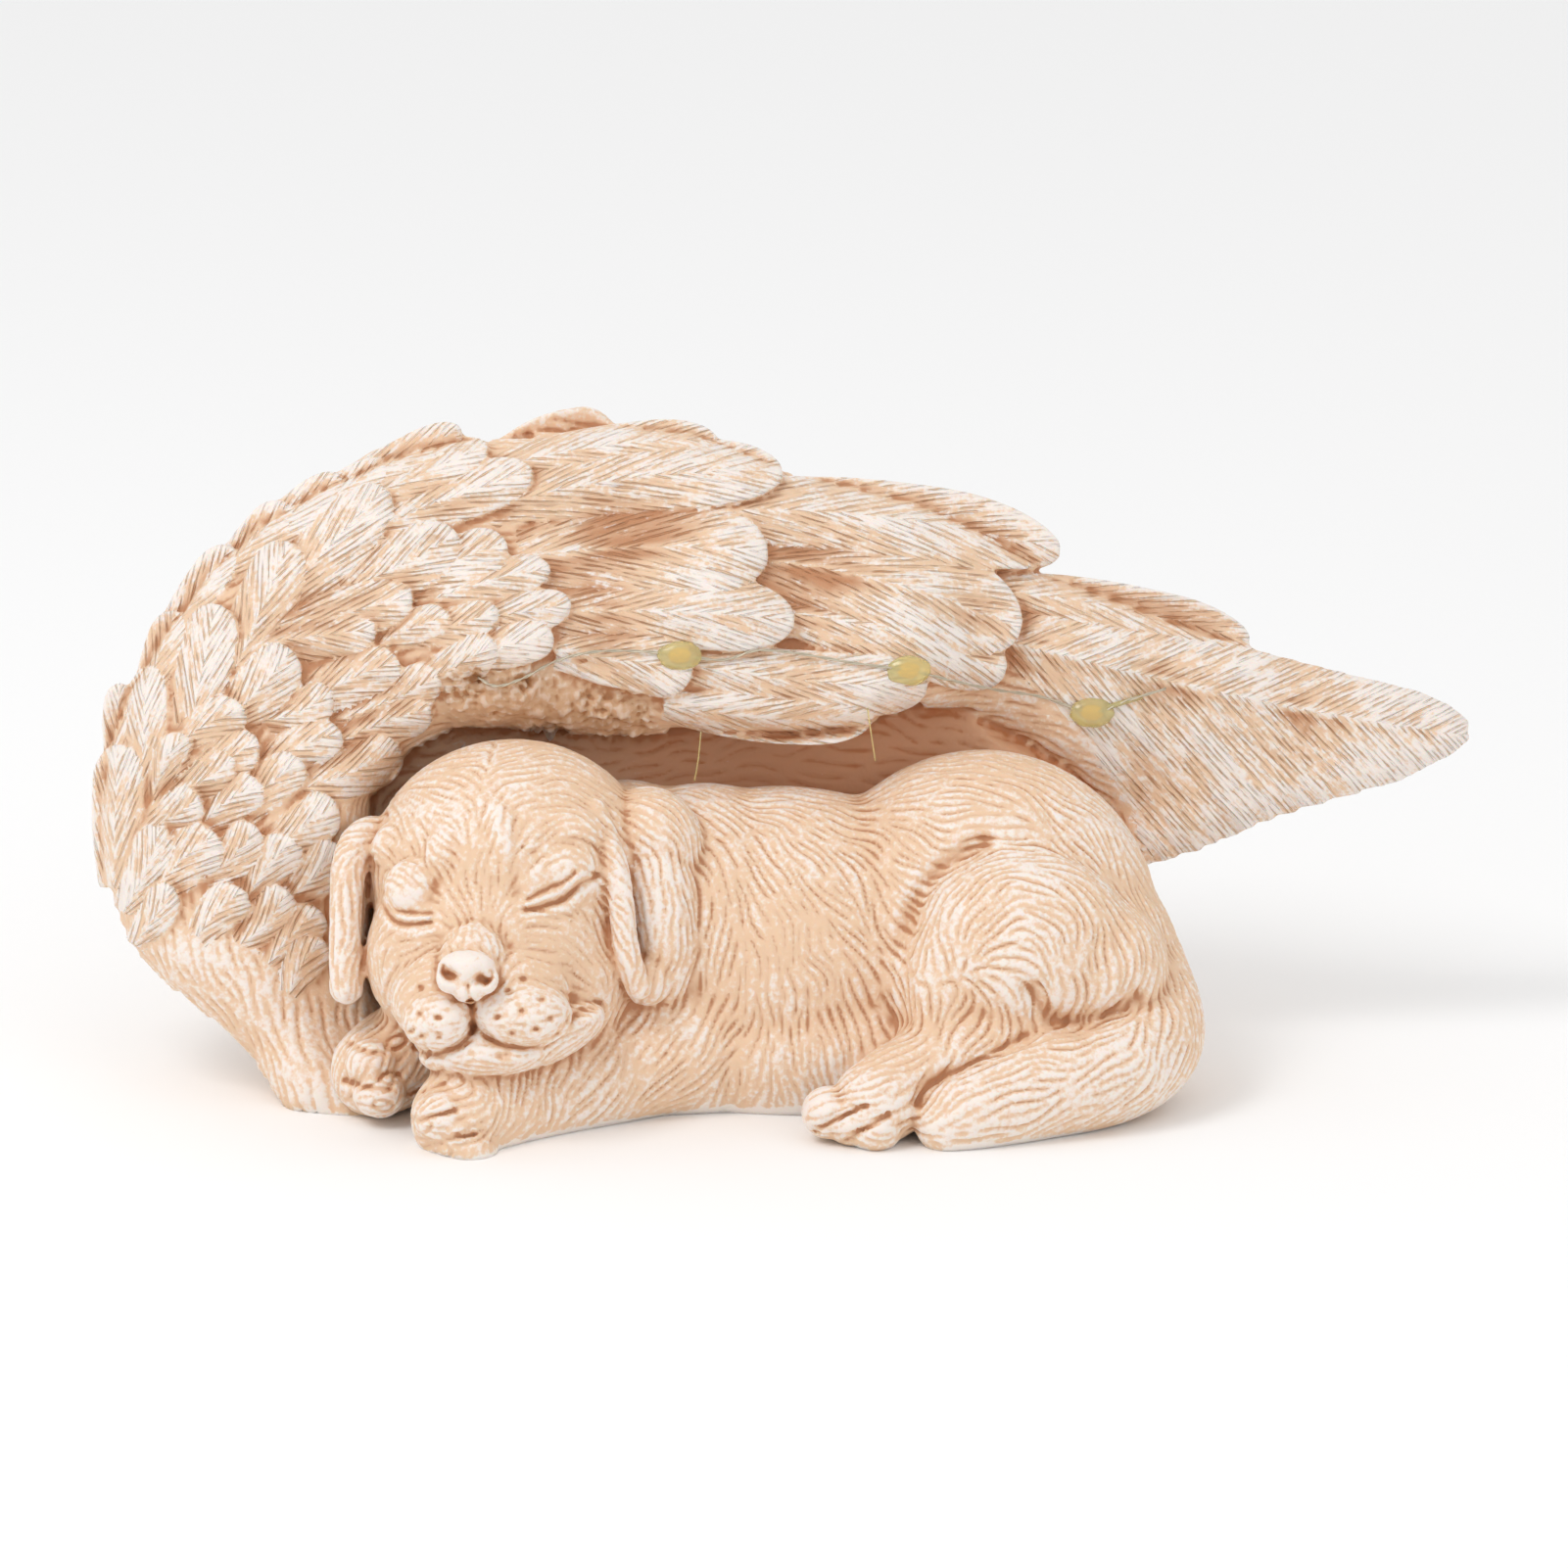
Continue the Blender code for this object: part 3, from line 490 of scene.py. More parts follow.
    def cut(self, skin: Skin, length_here: np.ndarray, apart_here: np.ndarray) -> None:
        """Carves the grooves.

        Args:
            skin: The surface.
            length_here: For each vertex, the share of the longest groove, or 0 for none.
            apart_here: For each vertex, the share of the space between grooves.
        """
        points, strengths = [], []
        draws = np.random.default_rng(11)
        for line in self.lines(skin, length_here, apart_here):
            force = draws.uniform(0.75, 1.25)
            for number, (point, at) in enumerate(line):
                taper = min(1.0, (number + 1) / 4, (len(line) - number) / 4)
                points.append(point)
                strengths.append(force * taper * min(1.0, apart_here[at]))
        self.press_in(skin, points, strengths)

    def press_in(self, skin: Skin, points: list[Vector], strengths: list[float]) -> None:
        """Presses the surface in along the grooves and lifts it a little between them.

        Args:
            skin: The surface.
            points: The grooves' points.
            strengths: How strongly the tool was pressed at each.
        """
        unit = PLANE.millimetre
        tree = tree_of(points)
        push = np.zeros(len(skin.places))
        for number, place in enumerate(skin.places):
            _, nearest, distance = tree.find(place)
            if distance < self.margin * unit:
                square = (distance / (self.half_width * unit)) ** 2
                push[number] = strengths[nearest] * (math.exp(-square) - 0.25 * math.exp(-0.3 * square))
        skin.places -= skin.normals * (push * self.press * unit)[:, None]
        skin.write()


@dataclass(frozen=True)
class Puppy:
    """The puppy asleep: head on its forepaws, folded hind leg, and the tail round its side.

    Every mass is (across, up, depth), half sizes across, up and in depth, and its roll in degrees.
    Limbs, tail and ear rims run through (place, radius) stations. Paws are the middle of the
    knuckles, the step from one to the next, their radius and their number. Nails are (across, up,
    turn in degrees). Short places are ovals of the face and the share of the fur's length there.
    """

    trunk: tuple[Mass, ...] = (
        ((0, 21, 1), (33, 25, 21), -2),
        ((-12, 24, 0), (21, 22.5, 20), 0),
        ((30, 24, 1), (27, 27.5, 22), 0),
        ((44, 18, 0), (16.5, 22, 19), 20),
        ((10, 6, 0), (44, 14, 19), 0),
        ((-24, 30, 2), (17, 17, 16), 0),
        ((-16, 8, -6), (15, 13, 14), -18),
    )
    thigh: tuple[Mass, ...] = (
        ((35, 21.5, -15), (17.5, 15.5, 14), 0),
        ((24, 15, -17), (8, 12, 9), 8),
        ((46.5, 17.5, -12), (11.5, 12, 13), 0),
    )
    head: tuple[Mass, ...] = (
        ((-41, 33.5, -13), (21.5, 19.5, 19), 8),
        ((-43.5, 22, -19), (18.8, 16.5, 15), 6),
        ((-32, 18, -18), (9.2, 11, 11), 0),
        ((-55.5, 20.5, -19), (7, 10.5, 10), 0),
        ((-43.5, 9.5, -25), (12, 6.2, 11), 6),
    )
    face: tuple[Mass, ...] = (
        ((-45, 15, -29), (13.5, 9.0, 8.5), 6),
        ((-50.8, 11.6, -33), (5.8, 5.0, 6.2), 14),
        ((-39.0, 12.3, -33), (7.8, 5.4, 6.4), -6),
        ((-45.8, 19.5, -32), (5.4, 6.6, 7.4), 0),
        ((-43.8, 6.4, -29.5), (10.4, 3.8, 6.8), 4),
        ((-35.2, 8.6, -27), (9.4, 4.0, 7.0), 24),
        ((-50.4, 35.2, -26.2), (3.6, 6.4, 4.4), -14),
        ((-55.6, 36.8, -20.0), (6.0, 4.8, 4.0), 10),
        ((-41.4, 37.2, -27.6), (3.6, 7.0, 4.6), 12),
        ((-33.6, 39.2, -25.6), (7.6, 4.4, 4.8), -4),
        ((-46.7, 19.2, -39.4), (4.3, 2.6, 3.6), 2),
        ((-49.3, 17.6, -40.0), (1.9, 2.3, 2.4), 0),
        ((-44.0, 17.4, -40.0), (2.1, 2.3, 2.4), 0),
        ((-46.4, 15.8, -39.4), (2.4, 2.0, 2.6), 0),
        ((-54.4, 30.6, -26.8), (5.0, 4.8, 3.6), -8),
        ((-33.8, 33.6, -27.8), (6.4, 4.6, 3.5), 20),
    )
    ears: tuple[Mass, ...] = (
        ((-64.6, 26, -13), (2.4, 12.6, 7.0), -2),
        ((-18.4, 28, -16), (6.2, 15.6, 8.5), 6),
        ((-19.6, 37.5, -14), (7.6, 8.6, 9.5), 30),
        ((-20.4, 17.2, -20), (3.9, 4.2, 4.2), 0),
    )
    ear_rims: tuple[tuple[Station, ...], ...] = (
        (
            ((-58.5, 37.4, -12), 3.0),
            ((-62.0, 38.4, -15), 3.0),
            ((-64.6, 35.2, -18), 2.8),
            ((-65.3, 28, -20), 2.5),
            ((-65.4, 20.5, -20.5), 2.5),
            ((-65.2, 15.8, -20.5), 2.6),
        ),
        (
            ((-28.2, 42.4, -24), 2.0),
            ((-24.8, 33, -26), 2.0),
            ((-23.4, 22, -26), 2.0),
            ((-21.6, 16, -24), 2.0),
        ),
    )
    legs: tuple[tuple[Station, ...], ...] = (
        (
            ((-10, 6, -6), 11.0),
            ((-18, 5.5, -11), 9.2),
            ((-30, 1.6, -16), 8.0),
            ((-40, -1.2, -22), 7.4),
            ((-48, -3.4, -28), 7.6),
        ),
        (((-46, 8, -6), 8.5), ((-56, 6, -10), 8.0), ((-61, 3.2, -14), 7.2)),
        (
            ((40, 7, -16), 8.0),
            ((30, 5.4, -20), 7.6),
            ((20, 2.4, -23), 7.0),
            ((13.5, -1.4, -27), 6.6),
        ),
    )
    tail: tuple[Station, ...] = (
        ((52, 18, -2), 9.0),
        ((54, 9, -10), 9.4),
        ((49, 4.4, -18), 9.0),
        ((38, 1.2, -23), 8.2),
        ((28.6, -2.0, -26.5), 6.8),
        ((24.4, -4.0, -28.4), 5.0),
    )
    paws: tuple[tuple[Place, Place, float, int], ...] = (
        ((-48.6, -5.6, -31.5), (-2.2, 2.6, -0.6), 4.1, 3),
        ((-61.0, 2.2, -19.0), (1.2, -4.4, -0.4), 4.0, 2),
        ((10.2, -3.6, -28.0), (3.4, -1.0, -0.8), 4.2, 3),
    )
    face_grooves: tuple[Groove, ...] = (
        (((-59.0, 29.8), (-57.6, 27.6), (-55.0, 27.1), (-52.2, 26.9)), 0.4, 0.6),
        (((-59.7, 28.2), (-57.8, 25.9), (-55.6, 25.3), (-52.3, 25.7)), 0.5, 1.1),
        (((-59.4, 29.0), (-57.7, 26.8), (-55.2, 26.2), (-52.2, 26.3)), 0.4, -0.5),
        (((-37.8, 29.1), (-35.3, 30.5), (-32.8, 31.6), (-31.0, 32.9)), 0.4, 0.6),
        (((-38.1, 27.5), (-35.3, 28.1), (-32.5, 29.2), (-30.3, 31.3), (-28.0, 32.6)), 0.5, 1.0),
        (((-37.9, 28.3), (-35.3, 29.3), (-32.6, 30.4), (-30.6, 32.2)), 0.4, -0.5),
        (((-60.0, 27.0), (-57.9, 24.5), (-55.4, 24.0), (-52.2, 24.5)), 0.7, -0.4),
        (((-37.9, 26.2), (-35.1, 26.7), (-32.0, 27.8), (-29.6, 30.0), (-27.2, 31.4)), 0.7, -0.4),
        (((-51.7, 33.5), (-51.6, 31.0), (-52.4, 27.6)), 1.3, 0.6),
        (((-39.6, 30.0), (-39.4, 33.2), (-37.0, 35.6)), 1.4, 0.5),
        (((-51.3, 20.2), (-51.2, 16.6), (-49.2, 14.8), (-46.4, 13.8)), 0.6, 0.8),
        (((-42.2, 20.2), (-41.9, 17.0), (-43.6, 14.9), (-46.0, 13.8)), 0.6, 0.8),
        (((-49.4, 18.3), (-48.8, 17.9)), 0.85, 2.6),
        (((-44.5, 17.5), (-43.9, 17.3)), 0.85, 2.6),
        (((-49.4, 17.6), (-50.2, 18.4), (-50.0, 19.4)), 0.4, 1.0),
        (((-43.8, 16.9), (-42.9, 17.6), (-43.0, 18.6)), 0.4, 1.0),
        (((-46.4, 16.4), (-46.2, 14.2)), 0.4, 0.7),
        (((-46.1, 14.2), (-45.9, 11.5), (-45.9, 9.6)), 0.6, 1.8),
        (((-45.9, 10.2), (-46.9, 8.5), (-48.8, 7.0), (-52.4, 6.1), (-54.8, 7.0)), 0.6, 1.3),
        (((-45.9, 10.6), (-43.6, 8.6), (-40.9, 7.4), (-37.6, 7.3), (-34.4, 8.5), (-32.0, 11.0)), 0.6, 1.4),
        (((-31.2, 11.8), (-29.6, 12.6), (-27.8, 13.3)), 0.8, 1.6),
        (((-41.8, 6.2), (-41.0, 6.2)), 0.7, 0.9),
    )
    whisker_holes: tuple[Spot, ...] = (
        (-53.6, 16.1), (-55.4, 13.2), (-53.6, 12.2), (-51.0, 11.8), (-55.1, 9.6), (-53.3, 9.0),
        (-50.8, 8.9), (-38.5, 17.4), (-40.6, 15.7), (-35.6, 14.4), (-38.6, 12.8), (-42.2, 11.9),
        (-34.4, 11.6), (-36.6, 10.1), (-40.0, 9.4),
    )
    nails: tuple[tuple[float, float, float], ...] = (
        (-57.9, 7.6, 20), (-58.6, 2.3, 0), (-59.6, -1.8, -10), (-54.4, -0.4, 20), (-53.4, -4.6, 25),
        (-50.4, -8.6, 30), (4.2, -6.6, 60), (8.0, -8.6, 70), (11.6, -9.4, 80),
    )
    body_grooves: tuple[Groove, ...] = (
        (((30, 37), (23.9, 33.6), (20, 28.1), (18.4, 22.7), (17.8, 17.2), (17.3, 11)), 1.7, 2.0),
        (((37, 15.6), (39.7, 11.7), (45.2, 10.1), (52.4, 14.5)), 1.5, 1.8),
        (((36, 8.4), (28.7, 4.6), (21.6, 1.8), (20, -0.9)), 1.0, 1.5),
        (((-64.9, 7.5), (-62.4, 6.4), (-59.6, 5.9)), 0.5, 1.0),
        (((-65.6, 1.9), (-62.0, 0.9), (-58.4, 0.7)), 0.5, 1.0),
        (((-56.2, -0.2), (-53.6, 0.6), (-50.2, 1.6)), 0.5, 1.0),
        (((-55.6, -4.0), (-52.4, -3.0), (-48.6, -2.2)), 0.5, 1.0),
        (((-53.0, -7.6), (-49.6, -6.4), (-46.0, -5.6)), 0.5, 1.0),
        (((4.6, -5.2), (8.4, -3.2), (12.0, -1.6)), 0.5, 1.1),
        (((8.6, -7.0), (12.0, -4.8), (15.4, -3.0)), 0.5, 1.1),
    )
    short_places: tuple[tuple[float, float, float, float, float], ...] = (
        (-51.0, 11.5, 6.0, 5.0, 0.2), (-39.6, 12.2, 8.0, 5.4, 0.2), (-46.5, 17.8, 4.8, 3.8, 0),
        (-55.6, 27.4, 4.2, 3.0, 0), (-33.6, 30.4, 6.0, 3.0, 0),
    )
    face_front: float = -20.0
    head_oval: tuple[float, float, float, float] = (-43.0, 27.0, 21.0, 24.0)
    head_front: float = -8.0
    head_shorter: float = 0.45
    head_closer: float = 0.22
    hem: float = 1.2
    hidden_depth: float = 12.0
    hidden_end: float = 30.0
    carved_depth: float = 14.0
    rough_grain: float = 1.2
    nail_sizes: Spot = (1.5, 0.85)
    fur: Strokes = Strokes(
        combs=(
            (-44.5, 27, 90), (-44.5, 34.5, 92), (-44, 40, 95), (-49, 39, 122), (-53.5, 36, 135),
            (-57, 39, 145), (-52, 46, 150), (-49, 50, 160), (-40, 39, 62), (-35.5, 42, 38),
            (-31, 45, 15), (-26.5, 42, -12), (-35.5, 48, 28), (-40, 50.5, 50), (-29.5, 47.5, 0),
            (-34, 37.5, 20), (-27.5, 36.5, -50), (-29.5, 24, -15), (-26, 19, -40), (-33.5, 27, -8),
            (-60.5, 24, 200), (-60, 16.5, 215), (-55, 22.5, 190), (-44.5, 4, 5), (-35.5, 6, 15),
            (-28, 10, 25), (-66, 31, -90), (-66, 18, -90), (-16.5, 38, -65), (-15, 31, -84),
            (-17, 22, -95), (-19.5, 17, -105), (-21, 42.5, -30), (-9, 42, -55), (-3, 46, -35),
            (7.5, 47, -22), (15, 47.5, -15), (22, 48.5, -8), (31, 47.5, -22), (38.5, 44, -38),
            (45, 39, -50), (49.5, 33, -62), (-6, 34.5, -68), (3, 37.5, -55), (10.5, 39, -45),
            (16.5, 37.5, -48), (-9, 25.5, -85), (0, 27, -68), (9, 28.5, -55), (15, 29, -60),
            (-9.5, 16.5, -108), (-1.5, 16.5, -82), (7.5, 18, -58), (15, 18, -62), (-6, 7.5, -115),
            (3, 8.5, -84), (12, 9, -55), (-15, 10.5, -128), (-22, 4.5, -124), (-29.5, 0.5, -120),
            (-37, -2.5, -128), (-44.5, -4, -150), (-52, -5.5, -178), (20.5, 22.5, 98),
            (23.5, 30, 78), (28, 35.5, 45), (34, 37, 12), (40, 34.5, -20), (45.5, 29.5, -52),
            (48, 24, -78), (27, 22.5, 92), (30, 28, 60), (35, 30, 15), (39.5, 26, -40),
            (41, 20, -75), (34, 22.5, 20), (24, 12, -100), (31, 15, -60), (46, 18, -95),
            (50.5, 15, -115), (23.5, 6, -140), (15, 0.5, -155), (9, -3.5, 178), (55, 22.5, -80),
            (58, 15, -92), (58.5, 7.5, -125), (52, 4, -160), (44.5, 2.5, -172), (37, 2, -168),
            (29.5, -0.5, -160), (23.5, -4, -150), (22, -7, -175), (-63.5, 7.5, -120),
            (-64.5, -1, -150),
        )
    )

    def balls(self, shape: bmesh.types.BMesh, masses: Sequence[Mass]) -> None:
        """Adds ellipsoids to a bmesh."""
        for place, half_sizes, roll in masses:
            turn = PLANE.axes() @ Matrix.Rotation(math.radians(roll), 4, "Z")
            size = Matrix.Diagonal((*(half * PLANE.millimetre for half in half_sizes), 1))
            where = Matrix.Translation(PLANE.point(*place))
            bmesh.ops.create_icosphere(shape, subdivisions=4, radius=1, matrix=where @ turn @ size)

    def limb(self, shape: bmesh.types.BMesh, stations: Sequence[Station]) -> None:
        """Adds a round limb through (place, radius) stations to a bmesh."""
        rows = [(*place, radius) for place, radius in stations]
        balls = [((a, u, d), (r, r, r), 0.0) for a, u, d, r in smooth_way(rows, 10)]
        self.balls(shape, balls)

    def paw(self, shape: bmesh.types.BMesh, middle: Place, step: Place, radius: float, toes: int) -> None:
        """Adds toes side by side to a bmesh, each a small round knuckle.

        Args:
            shape: The bmesh.
            middle: The middle of the row of knuckles.
            step: From one knuckle to the next.
            radius: A knuckle's radius.
            toes: How many there are.
        """
        for number in range(toes):
            offset = number - (toes - 1) / 2
            place = tuple(m + offset * s for m, s in zip(middle, step))
            self.balls(shape, [(place, (radius, radius * 0.95, radius * 1.15), 0.0)])

    def modelled(self, grain: float) -> bpy.types.Object:
        """Models the puppy up to its fur.

        Args:
            grain: The size of the skin's faces, in millimetres.

        Returns:
            The puppy, uncut at the table.
        """
        rough = bmesh.new()
        for group in (self.trunk, self.head, self.thigh):
            self.balls(rough, group)
        for leg in self.legs:
            self.limb(rough, leg)
        body = melted("puppy_body", [mesh_piece("puppy_masses", rough)], self.rough_grain, 5)
        rounder = body.modifiers.new("rounder", "SUBSURF")
        rounder.levels = rounder.render_levels = 1
        settled(body)
        fine = bmesh.new()
        self.balls(fine, self.face)
        self.balls(fine, self.ears)
        self.limb(fine, self.tail)
        for rim in self.ear_rims:
            self.limb(fine, rim)
        for paw in self.paws:
            self.paw(fine, *paw)
        puppy = melted("puppy", [body, mesh_piece("puppy_details", fine)], grain, 5)
        skin = Skin(puppy)
        holes = [(((a - 0.1, u), (a + 0.1, u)), 0.45, 0.8) for a, u in self.whisker_holes]
        skin.carve((*self.face_grooves, *holes, *self.nail_rims()), self.head_front)
        skin.carve(self.body_grooves, self.carved_depth)
        return puppy

    def nail_rims(self) -> Iterator[Groove]:
        """The fine grooves round the nails."""
        wide, high = self.nail_sizes
        for across, up, turn in self.nails:
            rim = []
            for angle in np.linspace(0, 2 * math.pi, 9):
                place = Vector((wide * math.cos(angle), high * math.sin(angle)))
                place.rotate(Matrix.Rotation(math.radians(turn), 2))
                rim.append((across + place.x, up + place.y))
            yield tuple(rim), 0.3, 0.55

    def furred(self, puppy: bpy.types.Object) -> None:
        """Carves the fur, short round the eyes and none on the nose, lids and lips."""
        skin = Skin(puppy)
        across, up, depth = skin.layout.T
        length = np.ones(len(skin.places))
        apart = np.ones(len(skin.places))
        head = np.exp(-oval(across, up, self.head_oval, 4)) * (depth < self.head_front)
        length -= self.head_shorter * head
        apart -= self.head_closer * head
        for *place, share in self.short_places:
            length[(oval(across, up, place) < 1) & (depth < self.face_front)] = share
        length[skin.places[:, 2] < PLANE.shift[2] + self.hem * PLANE.millimetre] = 0
        length[(depth > self.hidden_depth) & (across < self.hidden_end)] = 0
        self.fur.cut(skin, length, apart)


@dataclass(frozen=True)
class Feather:
    """One feather, laid over the wing's body.

    Attributes:
        root: Where it starts, (across, up).
        tip: Where it ends, (across, up).
        width: Its width in millimetres.
        rise: How far its tip stands off the wing, in millimetres.
        bend: How far its middle bows sideways, in millimetres.
        side: The face of the wing that it lies on.
        vane: The width of its lower half at the root, where that runs on down to the rim.
        vane_taper: How fast such a vane narrows.
        vane_slant: How its root end slants.
        vane_edge: The width that is left of such a vane at its tip.
        root_share: The share of its width that it has at its root.
        widest_at: Where along it the full width is reached, as a share.
        round_from: Where along it the end starts to round off, as a share.
        round_share: How much of the width the rounding takes.
        long_from: From what length on its barbs lean as on a long feather, in millimetres.
        leans: The angle between barbs and quill on a short feather, a long one and the vane.
    """

    root: Spot
    tip: Spot
    width: float
    rise: float
    bend: float
    side: Side
    vane: float = 0.0
    vane_taper: float = 0.52
    vane_slant: float = 0.75
    vane_edge: float = 0.5
    root_share: float = 0.62
    widest_at: float = 0.6
    round_from: float = 0.74
    round_share: float = 0.97
    long_from: float = 24.0
    leans: Place = (0.36, 0.26, 0.62)

    @property
    def length(self) -> float:
        """From root to tip."""
        return math.dist(self.root, self.tip)

    @property
    def heading(self) -> Spot:
        """The way from root to tip, across and up."""
        return tuple((tip - root) / self.length for root, tip in zip(self.root, self.tip))

    @property
    def barb_lean(self) -> float:
        """The angle between its barbs and its quill."""
        short, long, vane = self.leans
        if self.vane:
            return vane
        return long if self.length > self.long_from else short

    def half_width(self, share: np.ndarray, below: np.ndarray) -> np.ndarray:
        """Its half width at shares of its length, below or above the quill."""
        grown = np.sin(np.clip(share / self.widest_at, 0, 1) * math.pi / 2)
        swelling = self.root_share + (1 - self.root_share) * grown
        end = np.clip((share - self.round_from) / (1 - self.round_from), 0, 1)
        rounding = np.sqrt(1 - self.round_share * end**2)
        half = self.width / 2 * swelling * rounding
        if self.vane:
            wide = self.vane * (1 - np.clip(share, 0, 1)) ** self.vane_taper + self.vane_edge
            wide = np.minimum(wide, self.width / 2 + self.vane_slant * self.length * share)
            half = np.where(below, wide, half)
        return half

    def shares(self, across: np.ndarray, up: np.ndarray) -> tuple[np.ndarray, np.ndarray, np.ndarray]:
        """Where places lie on the feather.

        Args:
            across: The places' first coordinate.
            up: Their second.

        Returns:
            Millimetres along the quill, the same as a share from 0 to 1, and millimetres out
            from it.
        """
        dx, dy = self.heading
        along = (across - self.root[0]) * dx + (up - self.root[1]) * dy
        share = np.clip(along / self.length, 0, 1)
        out = (up - self.root[1]) * dx - (across - self.root[0]) * dy
        return along, share, out - self.bend * 4 * share * (1 - share)


